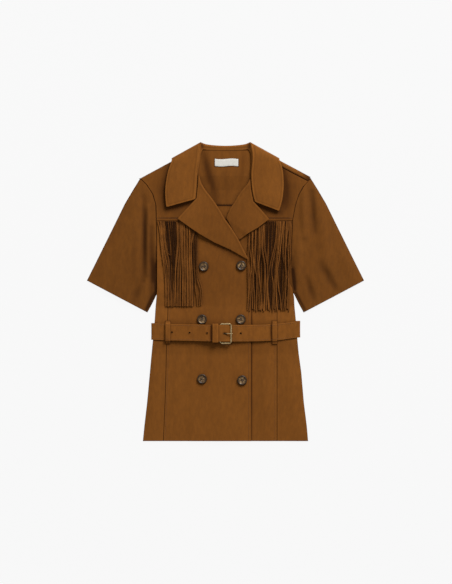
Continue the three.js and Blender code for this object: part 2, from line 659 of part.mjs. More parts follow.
// Belt: one strap from its turned end at the buckle, round behind and back to its tip
const BELT = { width: 39, thickness: 1.8 };
const SIDE_TURN = 3;
const turnRound = (x, z, radius, from, to, y) => [0, 0.25, 0.5, 0.75, 1].map((t) => {
  const angle = mix(from, to, t);
  return { x: x + radius * Math.cos(angle), z: z + radius * Math.sin(angle), y };
});
const BELT_PATH = [
  { x: -44, z: 12.6, y: -97 },
  { x: -28, z: 12.9, y: -97.4 },
  ...turnRound(-10.6, 12.5, 2.1, Math.PI / 2, -Math.PI / 2, -97.5),
  { x: -30, z: 10.4, y: -97.4 },
  { x: -58, z: 9.2, y: -97 },
  { x: -77, z: 8.9, y: -96.5 },
  { x: -110, z: 7.6, y: -95.5 },
  ...turnRound(-170.4, 3.9, SIDE_TURN, Math.PI / 2, 1.5 * Math.PI, -93.5),
  { x: -110, z: 0.9, y: -91 },
  { x: 110, z: 0.9, y: -90 },
  ...turnRound(171.6, 3.9, SIDE_TURN, -Math.PI / 2, Math.PI / 2, -88),
  { x: 140, z: 7.2, y: -92.5 },
  { x: 110, z: 7.5, y: -96 },
  { x: 66, z: 9.1, y: -97.2 },
  { x: 36, z: 10.6, y: -97.4 },
  { x: 15, z: 11.7, y: -97.5 },
  { x: 10, z: 12, y: -97.5 },
  { x: -1, z: 14.9, y: -97.5 },
  { x: -11, z: 16.8, y: -97.5 },
  { x: -24, z: 15.2, y: -97.4 },
  { x: -44, z: 14.6, y: -97 },
  { x: -58, z: 12.2, y: -96.5 },
  { x: -100, z: 10.6, y: -95.5 },
  { x: -134, z: 10, y: -95 },
];

function band(path, width, thickness, lay) {
  const rings = path.map((p, i) => {
    const a = path[Math.max(i - 1, 0)];
    const b = path[Math.min(i + 1, path.length - 1)];
    const run = new THREE.Vector2(b.u - a.u, b.z - a.z).normalize();
    const off = run.clone().rotateAround(new THREE.Vector2(), Math.PI / 2).multiplyScalar(thickness / 2);
    const corner = (side, up) => lay(p.u + up * off.x, p.v + (side * width) / 2, p.z + up * off.y);
    return [corner(-1, -1), corner(1, -1), corner(1, 1), corner(-1, 1)];
  });
  return loft(rings);
}

const BUCKLE = {
  left: -14, right: 15.2, y: -98.4, z: 12.5, height: 49, rise: 2,
  bar: 3.4, thickness: 1.8, corner: 5, innerCorner: 0.5,
};
const PRONG = { radius: 1, y: -98.2, sides: 8 };
const PRONG_PATH = [[-6.2, 12.9], [-3.6, 13.2], [-1.6, 14.4], [0.4, 16.2], [3, 16.9], [9, 17], [16.4, 16.9]];
const PRONG_SLOT = { x: -0.6, length: 8, width: 3.4, z: 14.6, height: 6 };

function addBelt() {
  const path = BELT_PATH.map(({ x, y, z }) => ({ u: x, v: y, z }));
  const strap = band(path, BELT.width, BELT.thickness, (u, v, z) => vector(u, v, z));
  const slot = new THREE.BoxGeometry(PRONG_SLOT.length, PRONG_SLOT.width, PRONG_SLOT.height);
  slot.translate(PRONG_SLOT.x, PRONG.y, PRONG_SLOT.z);
  piece("belt", cut(strap, [slot]), beltCloth);
}

// Loops and keeper that hold the belt: each is a strip bent over it, across its width
const LOOP = { width: 12, thickness: 1.2, half: 21 };
const LOOPS = [
  { name: "belt_loop_right", x: -135, y: -95, z: 11.9, foot: 6.9 },
  { name: "belt_loop_left", x: 115.5, y: -95.6, z: 9.6, foot: 6.9 },
];

function addLoop({ name, x, y, z, foot }) {
  const { half } = LOOP;
  const path = [
    { u: y + half + 6, z: foot },
    { u: y + half + 1.6, z: foot + 0.2 },
    { u: y + half + 0.4, z: foot + 1.6 },
    { u: y + half, z: z - 1.2 },
    { u: y + half - 1.4, z },
    { u: y - half + 1.4, z },
    { u: y - half, z: z - 1.2 },
    { u: y - half - 0.4, z: foot + 1.6 },
    { u: y - half - 1.6, z: foot + 0.2 },
    { u: y - half - 6, z: foot },
  ].map((p) => ({ ...p, v: x }));
  piece(name, band(path, LOOP.width, LOOP.thickness, (u, v, h) => vector(v, u, h)), beltCloth);
}

const KEEPER = { x: -30.5, y: -97.4, half: 22.4, width: 14, low: 8.1, high: 18.5, thickness: 1.2, corner: 1.8 };

function addKeeper() {
  const { y, half, low, high, thickness, corner } = KEEPER;
  const shape = new THREE.Shape();
  const rounded = (path, h, bottom, top, radius) => {
    path.moveTo(y - h + radius, bottom);
    path.lineTo(y + h - radius, bottom);
    path.quadraticCurveTo(y + h, bottom, y + h, bottom + radius);
    path.lineTo(y + h, top - radius);
    path.quadraticCurveTo(y + h, top, y + h - radius, top);
    path.lineTo(y - h + radius, top);
    path.quadraticCurveTo(y - h, top, y - h, top - radius);
    path.lineTo(y - h, bottom + radius);
    path.quadraticCurveTo(y - h, bottom, y - h + radius, bottom);
  };
  rounded(shape, half, low, high, corner);
  const hole = new THREE.Path();
  rounded(hole, half - thickness, low + thickness, high - thickness, corner - 0.8);
  shape.holes.push(hole);
  const geometry = new THREE.ExtrudeGeometry(shape, { depth: KEEPER.width, bevelEnabled: false, curveSegments: 3 });
  geometry.applyMatrix4(new THREE.Matrix4().makeBasis(vector(0, 1, 0), vector(0, 0, 1), vector(1, 0, 0)));
  geometry.translate(KEEPER.x, 0, 0);
  piece("belt_keeper", geometry, beltCloth);
}

function addBuckle() {
  const half = BUCKLE.height / 2;
  const outline = (path, inset, corner) => {
    const [x0, x1, y0, y1] = [BUCKLE.left + inset, BUCKLE.right - inset, -half + inset, half - inset];
    path.moveTo(x0 + corner, y0);
    path.lineTo(x1 - corner, y0);
    path.lineTo(x1, y0 + corner);
    path.lineTo(x1, y1 - corner);
    path.lineTo(x1 - corner, y1);
    path.lineTo(x0 + corner, y1);
    path.lineTo(x0, y1 - corner);
    path.lineTo(x0, y0 + corner);
    path.lineTo(x0 + corner, y0);
  };
  const shape = new THREE.Shape();
  outline(shape, 0, BUCKLE.corner);
  const hole = new THREE.Path();
  outline(hole, BUCKLE.bar, BUCKLE.innerCorner);
  shape.holes.push(hole);
  const frame = new THREE.ExtrudeGeometry(shape, { depth: BUCKLE.thickness, bevelEnabled: false });
  frame.translate(0, 0, -BUCKLE.thickness / 2);
  const mesh = piece("buckle_frame", frame, brass);
  const tilt = Math.atan2(BUCKLE.rise, BUCKLE.right - BUCKLE.left);
  mesh.rotation.y = -tilt;
  mesh.position.set(0, BUCKLE.y, BUCKLE.z - (BUCKLE.left + BUCKLE.bar / 2) * Math.tan(tilt));
  const ring = (x, z) => Array.from({ length: PRONG.sides }, (_, k) => {
    const angle = (2 * Math.PI * k) / PRONG.sides;
    return vector(x, PRONG.y + PRONG.radius * Math.cos(angle), z + PRONG.radius * Math.sin(angle));
  });
  piece("buckle_prong", loft(PRONG_PATH.map(([x, z]) => ring(x, z))), brass);
}

// Buttons in two columns of three, all on the top front
const BUTTON = { radius: 11.5, holeRadius: 1.1, holeStep: 1.84, segments: 20 };
const BUTTONS = [
  { name: "button_top_right", x: -51, y: 59 },
  { name: "button_top_left", x: 37, y: 61 },
  { name: "button_middle_right", x: -55, y: -65 },
  { name: "button_middle_left", x: 36, y: -65 },
  { name: "button_low_right", x: -55, y: -205 },
  { name: "button_low_left", x: 39, y: -208 },
];
const BUTTON_PROFILE = [
  { r: 0, h: 0 },
  { r: 0.86, h: 0 },
  { r: 1, h: 1.2 },
  { r: 0.98, h: 2.8 },
  { r: 0.88, h: 3.6 },
  { r: 0.74, h: 3.3 },
  { r: 0.64, h: 2.5 },
  { r: 0, h: 2.3 },
];

function addButtons() {
  for (const { name, x, y } of BUTTONS) {
    const profile = BUTTON_PROFILE.map(({ r, h }) => new THREE.Vector2(r * BUTTON.radius, h));
    const body = new THREE.LatheGeometry(profile, BUTTON.segments);
    body.rotateX(Math.PI / 2);
    const holes = [[-1, -1], [-1, 1], [1, -1], [1, 1]].map(([i, j]) => {
      const hole = new THREE.CylinderGeometry(BUTTON.holeRadius, BUTTON.holeRadius, 12, 6);
      hole.rotateX(Math.PI / 2);
      hole.translate(i * BUTTON.holeStep, j * BUTTON.holeStep, 0);
      return hole;
    });
    const mesh = piece(name, cut(body, holes), horn);
    const high = topFrontHeight(x, y - BUTTON.radius);
    mesh.position.set(x, y, high + SEAM);
  }
}

const LABEL = { x: 2.5, y: 303, width: 55, height: 17, thickness: 0.7, wave: 0.2 };

function addLabel() {
  const top = CLOTH + COLLAR_LIFT + SEAM + LABEL.thickness;
  const rows = [0.5, -0.5];
  const columns = [-0.5, -0.32, -0.12, 0.1, 0.3, 0.5];
  const grid = rows.map((v) => columns.map((u) => {
    const y = LABEL.y + v * LABEL.height + 1.2 * Math.sin(7 * u);
    return vector(LABEL.x + u * LABEL.width, y, top + LABEL.wave * (1 + Math.cos(9 * u)));
  }));
  piece("neck_label", wall(grid, LABEL.thickness), labelCloth);
}

addBack();
addSideFronts();
addFronts();
addFrontYokes();
addBackYoke();
addCollar();
addLapels();
addSleeve("right");
addSleeve("left");
addFringes();
addBelt();
LOOPS.forEach(addLoop);
addKeeper();
addBuckle();
addButtons();
addLabel();

export default garment;
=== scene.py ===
"""Short-sleeved belted jacket with fringed yokes, laid flat on its back.

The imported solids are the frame. Each soft solid is replaced by fine cloth of the same form, with
rolled edges, folds, stitching, fringe, eyelets and a napped finish.
"""

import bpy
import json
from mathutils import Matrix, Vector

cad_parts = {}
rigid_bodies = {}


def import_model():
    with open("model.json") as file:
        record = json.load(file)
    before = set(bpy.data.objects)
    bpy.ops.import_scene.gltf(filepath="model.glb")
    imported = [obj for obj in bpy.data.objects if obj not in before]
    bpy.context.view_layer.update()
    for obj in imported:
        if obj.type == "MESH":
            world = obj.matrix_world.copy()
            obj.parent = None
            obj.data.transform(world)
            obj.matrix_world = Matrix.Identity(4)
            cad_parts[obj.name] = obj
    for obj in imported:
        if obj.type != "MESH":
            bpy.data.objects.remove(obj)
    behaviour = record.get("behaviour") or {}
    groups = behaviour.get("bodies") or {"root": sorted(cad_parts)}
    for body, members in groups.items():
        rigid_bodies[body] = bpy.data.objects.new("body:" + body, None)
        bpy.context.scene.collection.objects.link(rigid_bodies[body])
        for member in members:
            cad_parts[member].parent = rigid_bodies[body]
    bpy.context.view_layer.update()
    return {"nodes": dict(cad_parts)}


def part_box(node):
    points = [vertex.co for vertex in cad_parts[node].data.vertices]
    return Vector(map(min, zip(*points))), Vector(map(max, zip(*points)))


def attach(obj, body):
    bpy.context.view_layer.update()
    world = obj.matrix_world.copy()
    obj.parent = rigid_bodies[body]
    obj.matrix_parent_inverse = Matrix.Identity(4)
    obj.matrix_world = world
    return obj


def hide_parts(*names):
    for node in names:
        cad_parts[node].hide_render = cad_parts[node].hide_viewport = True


bl_info = {
    "name": "Fringed belted jacket",
    "version": (1, 0, 0),
    "blender": (4, 5, 0),
    "location": "View3D > Sidebar > Jacket",
    "description": "Cloth, seams, fringe, belt, buttons and stage of a flat-laid jacket",
    "category": "Add Mesh",
}

import json
import math

import bmesh
import bpy
import numpy as np
from bpy.props import FloatProperty, FloatVectorProperty, IntProperty, PointerProperty
from mathutils import Matrix, Vector
from mathutils.bvhtree import BVHTree
from mathutils.geometry import delaunay_2d_cdt
from mathutils.kdtree import KDTree

MM = 0.001
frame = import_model()

# Pieces of cloth that are laid as one sheet over the upper face of their solid
BODY_PANELS = ["back_panel", "side_front_right", "side_front_left", "front_left", "front_right"]
YOKES = ["front_yoke_right", "front_yoke_left"]
LAPELS = ["lapel_left", "lapel_right"]
# Height in mm of the back yoke's seam
BACK_SEAM = 203.0
# Rays that look for a surface start at this height and go down
RAY_TOP = 0.2
DOWN = Vector((0, 0, -1))
# The photo's width in pixels, and how much of the floor one pixel shows
PHOTO_WIDTH = 452
PIXEL = 2.35 * MM
# Every finished piece by name, with its ray tree once one is asked for
FINISHED = {}


# Sizes and colours a user would change


def length_setting(name, description, default):
    return FloatProperty(name=name, description=description, default=default, unit="LENGTH")


def colour_setting(name, description, default):
    return FloatVectorProperty(name=name, description=description, subtype="COLOR", default=default)


class JacketCloth(bpy.types.PropertyGroup):
    sheet_step: length_setting("Sheet step", "Spacing of the points of a cloth sheet", 4.2 * MM)
    rim_round: length_setting("Edge rounding", "How far a cloth edge is rounded over", 0.45 * MM)
    # Painted shade under higher layers: how near a higher layer must be, and how dark it paints the nap
    painted_shade_reach: length_setting("Tuck reach", "How near a higher layer darkens the nap", 20 * MM)
    painted_shade_depth: FloatProperty(
        name="Tuck depth", description="How much darker tucked nap is", default=0.75, min=0.0, max=1.0
    )
    base: colour_setting("Cloth colour", "Brown of the napped cloth", (0.143, 0.0495, 0.0078))
    fringe: colour_setting("Fringe colour", "Brown of the cut strands", (0.148, 0.0515, 0.009))
    thread: colour_setting("Thread colour", "Brown of the sewing thread", (0.05, 0.0165, 0.0035))
    label: colour_setting("Label colour", "White of the woven neck label", (0.5, 0.485, 0.44))


class JacketTrim(bpy.types.PropertyGroup):
    stitch_length: length_setting("Stitch length", "Length of one visible stitch", 2.7 * MM)
    stitch_pitch: length_setting("Stitch pitch", "From one stitch to the next", 3.2 * MM)
    stitch_width: length_setting("Thread width", "Width of the sewing thread", 0.55 * MM)
    strand_width: length_setting("Strand width", "Width of a fringe strand", 2.7 * MM)
    strand_thickness: length_setting("Strand thickness", "Thickness of a fringe strand", 1.1 * MM)
    eyelet_radius: length_setting("Eyelet radius", "Outer radius of a belt eyelet", 3.0 * MM)
    eyelet_wire: length_setting("Eyelet wire", "Thickness of the eyelet's rim", 0.45 * MM)


class JacketStage(bpy.types.PropertyGroup):
    eye_height: length_setting("Camera height", "Height of the camera over the floor", 4.2)
    view_width: length_setting("View width", "Width of floor that the picture shows", PHOTO_WIDTH * PIXEL)
    key_power: FloatProperty(name="Key light", description="Power of the softbox", default=620.0)
    fill_power: FloatProperty(name="Fill light", description="Power of the fill", default=10.0)
    sky: FloatProperty(name="Sky", description="Strength of the even light around", default=0.3, min=0.0)
    threads_seed: IntProperty(name="Seed", description="Seed of the fringe's sway", default=7, min=0)


# Node helpers


def group_tree(kind, name, inputs, outputs):
    """An empty node group with named sockets; inputs are (name, type, default)."""
    tree = bpy.data.node_groups.new(name, kind)
    for label, socket, default in inputs:
        made = tree.interface.new_socket(label, in_out="INPUT", socket_type=socket)
        if default is not None:
            made.default_value = default
    for label, socket in outputs:
        tree.interface.new_socket(label, in_out="OUTPUT", socket_type=socket)
    return tree, tree.nodes.new("NodeGroupInput"), tree.nodes.new("NodeGroupOutput")


def node(tree, kind, links=None, **settings):
    """Adds a node, sets its properties, and fills its inputs with values or linked sockets."""
    made = tree.nodes.new(kind)
    for key, value in settings.items():
        setattr(made, key, value)
    for key, value in (links or {}).items():
        socket = made.inputs[key]
        if isinstance(value, bpy.types.NodeSocket):
            tree.links.new(value, socket)
        else:
            socket.default_value = value
    return made


def mixed(tree, factor, a, b, blend="MIX"):
    """Two colours mixed by a factor."""
    made = node(tree, "ShaderNodeMix", data_type="RGBA", blend_type=blend)
    for socket, value in ((made.inputs[0], factor), (made.inputs[6], a), (made.inputs[7], b)):
        if isinstance(value, bpy.types.NodeSocket):
            tree.links.new(value, socket)
        else:
            socket.default_value = value
    return made.outputs[2]


def maths(tree, operation, a, b=0.0, clamp=False):
    return node(tree, "ShaderNodeMath", {0: a, 1: b}, operation=operation, use_clamp=clamp).outputs[0]


def product(tree, a, b):
    return maths(tree, "MULTIPLY", a, b)


def ranged(tree, value, low, high, to_low, to_high):
    """A value moved from one range to another and kept inside it."""
    made = node(tree, "ShaderNodeMapRange", {0: value, 1: low, 2: high, 3: to_low, 4: to_high})
    return made.outputs[0]


def rgba(colour, factor=1.0):
    return (colour[0] * factor, colour[1] * factor, colour[2] * factor, 1.0)


def object_place(tree):
    return node(tree, "ShaderNodeTexCoord").outputs["Object"]


def noise(tree, place, scale, detail, roughness=0.5, distortion=0.0):
    settings = {"Vector": place, "Scale": scale, "Detail": detail, "Roughness": roughness}
    return node(tree, "ShaderNodeTexNoise", {**settings, "Distortion": distortion}).outputs[0]


def add_bump(tree, shader, height, strength, distance):
    made = node(tree, "ShaderNodeBump", {"Strength": strength, "Distance": distance, "Height": height})
    tree.links.new(made.outputs[0], shader.inputs["Normal"])


# Shader groups shared by the materials


def nap_group():
    """Napped cloth: brushed patches, short fibre flecks and a close twill under them."""
    tree, inside, outside = group_tree(
        "ShaderNodeTree",
        "Brushed nap",
        [
            ("Vector", "NodeSocketVector", None),
            ("Base", "NodeSocketColor", (0.17, 0.06, 0.013, 1.0)),
            ("Shade", "NodeSocketColor", (0.11, 0.037, 0.008, 1.0)),
            ("Bloom", "NodeSocketColor", (0.25, 0.095, 0.025, 1.0)),
            ("Patch amount", "NodeSocketFloat", 0.35),
            ("Fleck amount", "NodeSocketFloat", 0.3),
        ],
        [("Color", "NodeSocketColor"), ("Roughness", "NodeSocketFloat"), ("Height", "NodeSocketFloat")],
    )
    place = inside.outputs["Vector"]
    patches = noise(tree, place, 13.0, 3.0, 0.55)
    brushed = node(tree, "ShaderNodeMapping", {"Vector": place, "Scale": (1.0, 0.35, 1.0)})
    strokes = noise(tree, brushed.outputs[0], 150.0, 4.0, 0.6, 0.4)
    fibres = noise(tree, place, 1500.0, 2.0, 0.7)
    turn = node(tree, "ShaderNodeMapping", {"Vector": place, "Rotation": (0.0, 0.0, math.radians(38))})
    ribs = {"Vector": turn.outputs[0], "Scale": 420.0, "Distortion": 1.5, "Detail": 1.0}
    twill = node(tree, "ShaderNodeTexWave", ribs, bands_direction="X").outputs[0]
    amount = inside.outputs["Patch amount"]
    dark = product(tree, ranged(tree, patches, 0.58, 0.32, 0.0, 1.0), amount)
    light = product(tree, ranged(tree, patches, 0.5, 0.72, 0.0, 1.0), amount)
    tone = mixed(tree, dark, inside.outputs["Base"], inside.outputs["Shade"])
    tone = mixed(tree, light, tone, inside.outputs["Bloom"])
    amount = inside.outputs["Fleck amount"]
    fleck = product(tree, ranged(tree, strokes, 0.35, 0.7, -0.5, 0.5), amount)
    fine = product(tree, ranged(tree, fibres, 0.3, 0.7, -0.35, 0.35), amount)
    gain = maths(tree, "ADD", maths(tree, "ADD", fleck, fine), 1.0)
    grey = node(tree, "ShaderNodeCombineColor", {0: gain, 1: gain, 2: gain})
    colour = mixed(tree, 1.0, tone, grey.outputs[0], "MULTIPLY")
    tree.links.new(colour, outside.inputs["Color"])
    tree.links.new(ranged(tree, strokes, 0.3, 0.7, 0.82, 0.96), outside.inputs["Roughness"])
    height = maths(tree, "ADD", product(tree, fibres, 0.5), product(tree, twill, 0.35))
    height = maths(tree, "ADD", height, product(tree, strokes, 0.8))
    tree.links.new(height, outside.inputs["Height"])
    return tree


def band(tree, edge, rise_from, rise_to, fall_to, fall_from, amount):
    """A soft band beside a cloth edge: it rises between two distances and falls between two more."""
    rise = ranged(tree, edge, rise_from, rise_to, 0.0, 1.0)
    fall = ranged(tree, edge, fall_to, fall_from, 0.0, 1.0)
    return product(tree, product(tree, rise, fall), amount)


def edge_group():
    """Turns the distance from a cloth edge into painted shade along the seam and a paler band beside it,
    partly rubbing of the fold and partly a painted highlight where the rolled edge catches the light.

    Further from the edge, a line of painted shade marks the groove where the stitching pulls the cloth
    down. The Shade input darkens by the painted shade that the mesh stores.
    """
    tree, inside, outside = group_tree(
        "ShaderNodeTree",
        "Seam and fold wear",
        [
            ("Edge", "NodeSocketFloat", 50.0),
            ("Shade", "NodeSocketFloat", 0.0),
            ("Color", "NodeSocketColor", (0.17, 0.06, 0.013, 1.0)),
            ("Seam depth", "NodeSocketFloat", 0.55),
            ("Wear", "NodeSocketFloat", 0.15),
            ("Drawn in", "NodeSocketFloat", 0.0),
            ("Deep", "NodeSocketColor", (0.28, 0.24, 0.2, 1.0)),
        ],
        [("Color", "NodeSocketColor")],
    )
    edge = inside.outputs["Edge"]
    # Painted shade in the seam's groove, right at the edge
    seam = product(tree, ranged(tree, edge, 1.2, 0.2, 0.0, 1.0), inside.outputs["Seam depth"])
    # Paler band beside the edge: partly rubbing, partly painted highlight on the rolled fold
    rubbed_and_painted_light = band(tree, edge, 0.5, 1.3, 3.6, 1.7, inside.outputs["Wear"])
    darker = mixed(tree, 1.0, inside.outputs["Color"], inside.outputs["Deep"], "MULTIPLY")
    paler = mixed(tree, 1.0, inside.outputs["Color"], (1.55, 1.6, 1.7, 1.0), "MULTIPLY")
    tone = mixed(tree, rubbed_and_painted_light, inside.outputs["Color"], paler)
    tone = mixed(tree, seam, tone, darker)
    # Painted shade in the groove that the stitching pulls down
    groove_shade = band(tree, edge, 3.4, 4.8, 7.0, 5.4, inside.outputs["Drawn in"])
    tone = mixed(tree, groove_shade, tone, darker)
    # Painted shade from the mesh's shade attribute
    tone = mixed(tree, inside.outputs["Shade"], tone, darker)
    tree.links.new(tone, outside.inputs["Color"])
    return tree


def new_material(name):
    material = bpy.data.materials.new(name)
    material.use_nodes = True
    tree = material.node_tree
    tree.nodes.clear()
    shader = tree.nodes.new("ShaderNodeBsdfPrincipled")
    output = tree.nodes.new("ShaderNodeOutputMaterial")
    tree.links.new(shader.outputs[0], output.inputs[0])
    return material, tree, shader


def cloth_material(name, base, patch, fleck, seam, wear, groove_shade=0.0, bump=0.35, deep=(0.28, 0.24, 0.2)):
    """Napped cloth in a given brown. From the mesh's attributes it paints shade into the seams, a paler
    rim beside them that is partly rubbing and partly painted highlight, and the stored painted shade.
    """
    material, tree, shader = new_material(name)
    nap = node(tree, "ShaderNodeGroup", node_tree=bpy.data.node_groups["Brushed nap"])
    tree.links.new(object_place(tree), nap.inputs["Vector"])
    nap.inputs["Base"].default_value = rgba(base)
    nap.inputs["Shade"].default_value = (base[0] * 0.74, base[1] * 0.7, base[2] * 0.66, 1.0)
    nap.inputs["Bloom"].default_value = (base[0] * 1.2, base[1] * 1.24, base[2] * 1.3, 1.0)
    nap.inputs["Patch amount"].default_value = patch
    nap.inputs["Fleck amount"].default_value = fleck
    edge = node(tree, "ShaderNodeAttribute", attribute_name="edge_mm")
    shade = node(tree, "ShaderNodeAttribute", attribute_name="shade")
    rubbed_and_painted_light = node(tree, "ShaderNodeGroup", node_tree=bpy.data.node_groups["Seam and fold wear"])
    tree.links.new(edge.outputs["Fac"], rubbed_and_painted_light.inputs["Edge"])
    tree.links.new(shade.outputs["Fac"], rubbed_and_painted_light.inputs["Shade"])
    tree.links.new(nap.outputs["Color"], rubbed_and_painted_light.inputs["Color"])
    # Depth of the painted seam shade, strength of the paler rim (rubbing and painted highlight) and depth of
    # the painted groove shade
    rubbed_and_painted_light.inputs["Seam depth"].default_value = seam
    rubbed_and_painted_light.inputs["Wear"].default_value = wear
    rubbed_and_painted_light.inputs["Drawn in"].default_value = groove_shade
    rubbed_and_painted_light.inputs["Deep"].default_value = rgba(deep)
    tree.links.new(rubbed_and_painted_light.outputs["Color"], shader.inputs["Base Color"])
    tree.links.new(nap.outputs["Roughness"], shader.inputs["Roughness"])
    add_bump(tree, shader, nap.outputs["Height"], bump, 0.25 * MM)
    shader.inputs["Specular IOR Level"].default_value = 0.06
    shader.inputs["Sheen Weight"].default_value = 0.06
    shader.inputs["Sheen Roughness"].default_value = 0.45
    shader.inputs["Sheen Tint"].default_value = (1.0, 0.62, 0.3, 1.0)
    return material


def thread_material(name, colour):
    material, tree, shader = new_material(name)
    place = object_place(tree)
    twist = node(tree, "ShaderNodeTexWave", {"Vector": place, "Scale": 900.0, "Distortion": 2.0})
    tone = mixed(tree, twist.outputs[0], rgba(colour, 0.75), rgba(colour, 1.2))
    tree.links.new(tone, shader.inputs["Base Color"])
    shader.inputs["Roughness"].default_value = 0.6
    return material


def label_material(colour):
    material, tree, shader = new_material("label tape")
    place = object_place(tree)
    ribs = node(
        tree, "ShaderNodeTexWave", {"Vector": place, "Scale": 900.0, "Distortion": 0.3},
        bands_direction="Y",
    )
    clouds = ranged(tree, noise(tree, place, 60.0, 2.0), 0.35, 0.7, 0.0, 1.0)
    tone = mixed(tree, clouds, rgba(colour), rgba(colour, 0.9))
    tone = mixed(tree, product(tree, ribs.outputs[0], 0.35), tone, rgba(colour, 0.8))
    tree.links.new(tone, shader.inputs["Base Color"])
    tree.links.new(ranged(tree, ribs.outputs[0], 0.0, 1.0, 0.5, 0.65), shader.inputs["Roughness"])
    add_bump(tree, shader, ribs.outputs[0], 0.3, 0.1 * MM)
    return material


def horn_material():
    """Marbled imitation horn: near-black rim, smoky and tan clouds in the dish."""
    material, tree, shader = new_material("marbled horn")
    place = object_place(tree)
    radius = node(tree, "ShaderNodeAttribute", attribute_name="radius_mm").outputs["Fac"]
    clouds = noise(tree, place, 120.0, 3.0, distortion=1.6)
    veins = noise(tree, place, 260.0, 2.0, distortion=2.5)
    ramp = node(tree, "ShaderNodeValToRGB", {0: clouds})
    stops = ramp.color_ramp.elements
    stops[0].position, stops[0].color = 0.36, (0.02, 0.0105, 0.0045, 1.0)
    stops[1].position, stops[1].color = 0.74, (0.42, 0.28, 0.13, 1.0)
    middle = stops.new(0.54)
    middle.color = (0.12, 0.066, 0.025, 1.0)
    streaks = ranged(tree, veins, 0.45, 0.65, 0.0, 0.55)
    tone = mixed(tree, streaks, ramp.outputs[0], (0.045, 0.024, 0.011, 1.0))
    tone = mixed(tree, ranged(tree, radius, 7.0, 9.4, 0.0, 0.93), tone, (0.022, 0.0115, 0.005, 1.0))
    tree.links.new(tone, shader.inputs["Base Color"])
    tree.links.new(ranged(tree, veins, 0.3, 0.7, 0.32, 0.46), shader.inputs["Roughness"])
    shader.inputs["Specular IOR Level"].default_value = 0.2
    return material


def brass_material():
    """Pale antique brass, brushed and a little tarnished."""
    material, tree, shader = new_material("pale brass")
    place = object_place(tree)
    spots = noise(tree, place, 300.0, 4.0)
    brushed = node(tree, "ShaderNodeMapping", {"Vector": place, "Scale": (1.0, 12.0, 1.0)})
    lines = noise(tree, brushed.outputs[0], 700.0, 2.0)
    tarnish = ranged(tree, spots, 0.42, 0.66, 0.0, 0.65)
    tone = mixed(tree, tarnish, (0.37, 0.27, 0.14, 1.0), (0.2, 0.13, 0.052, 1.0))
    tree.links.new(tone, shader.inputs["Base Color"])
    tree.links.new(ranged(tree, lines, 0.3, 0.7, 0.26, 0.44), shader.inputs["Roughness"])
    shader.inputs["Metallic"].default_value = 1.0
    add_bump(tree, shader, lines, 0.05, 0.03 * MM)
    return material


def build_materials(cloth):
    nap_group()
    edge_group()
    base = tuple(cloth.base)
    # One cloth throughout. The sleeve cloth is a copy darkened all over and in its seams with painted shade;
    # the collar, lapel and belt cloths are copies made a touch darker or lighter, painted shade and light.
    # The collar's strong paler rim is partly rubbing and partly painted highlight.
    cloth_material("napped cloth", base, 0.16, 0.2, 0.85, 0.1)
    cloth_material("sleeve cloth", tuple(c * 0.77 for c in base), 0.2, 0.2, 0.85, 0.1, deep=(0.2, 0.16, 0.13))
    cloth_material("collar cloth", tuple(c * 0.98 for c in base), 0.22, 0.2, 0.35, 0.42, groove_shade=0.22)
    cloth_material("lapel cloth", tuple(c * 0.96 for c in base), 0.22, 0.2, 0.4, 0.12, groove_shade=0.12)
    cloth_material("belt cloth", tuple(c * 1.02 for c in base), 0.22, 0.25, 0.3, 0.3)
    cloth_material("fringe cloth", tuple(cloth.fringe), 0.4, 0.4, 0.3, 0.5, bump=0.6, deep=(0.09, 0.07, 0.06))
    thread_material("sewing thread", tuple(cloth.thread))
    thread_material("button thread", (0.06, 0.035, 0.018))
    label_material(tuple(cloth.label))
    horn_material()
    brass_material()
    hole, _, shader = new_material("hole shadow")
    shader.inputs["Base Color"].default_value = (0.006, 0.003, 0.0015, 1.0)
    shader.inputs["Roughness"].default_value = 0.95
    shader.inputs["Specular IOR Level"].default_value = 0.0


# Mesh helpers


def merged_copy(name):
    """The CAD node's mesh with its loose triangles joined."""
    cloth = bmesh.new()
    cloth.from_mesh(frame["nodes"][name].data)
    bmesh.ops.remove_doubles(cloth, verts=cloth.verts, dist=1e-6)
    cloth.normal_update()
    return cloth


def new_piece(name, mesh, material, smooth=True):
    """Links a finished mesh as a piece of the object, riding on the root body."""
    piece = bpy.data.objects.new(name, mesh)
    bpy.context.scene.collection.objects.link(piece)
    mesh.materials.clear()
    mesh.materials.append(bpy.data.materials[material])
    if smooth:
        mesh.polygons.foreach_set("use_smooth", [True] * len(mesh.polygons))
    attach(piece, "root")
    FINISHED[name] = None
    return piece


def stand_in(part, mesh, material, ending="_cloth", smooth=True):
    """Links a finished mesh that takes the place of a CAD node."""
    piece = new_piece(part + ending, mesh, material, smooth)
    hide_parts(part)


def draft_of(name, mesh):
    """A working object that holds a mesh until it is finished."""
    draft = bpy.data.objects.new(name, mesh)
    bpy.context.scene.collection.objects.link(draft)
    return draft


def plain_mesh(name, shape):
    """The mesh of a bmesh, which is freed."""
    mesh = bpy.data.meshes.new(name)
    shape.to_mesh(mesh)
    shape.free()
    return mesh


def round_edges(draft, width, segments, angle):
    """Rounds the edges that are sharper than an angle in degrees, by a width in mm."""
    edge = draft.modifiers.new("Edge", "BEVEL")
    edge.width = width * MM
    edge.segments = segments
    edge.limit_method = "ANGLE"
    edge.angle_limit = math.radians(angle)


def add_attribute(mesh, name, values):
    layer = mesh.attributes.new(name, "FLOAT", "POINT")
    layer.data.foreach_set("value", np.asarray(values, dtype=np.float32))


def evaluated_mesh(piece):
    """The piece's mesh with its modifiers applied, and the modifiers removed."""
    made = bpy.data.meshes.new_from_object(piece.evaluated_get(bpy.context.evaluated_depsgraph_get()))
    piece.modifiers.clear()
    old = piece.data
    piece.data = made
    made.name = piece.name
    bpy.data.meshes.remove(old)
    return made


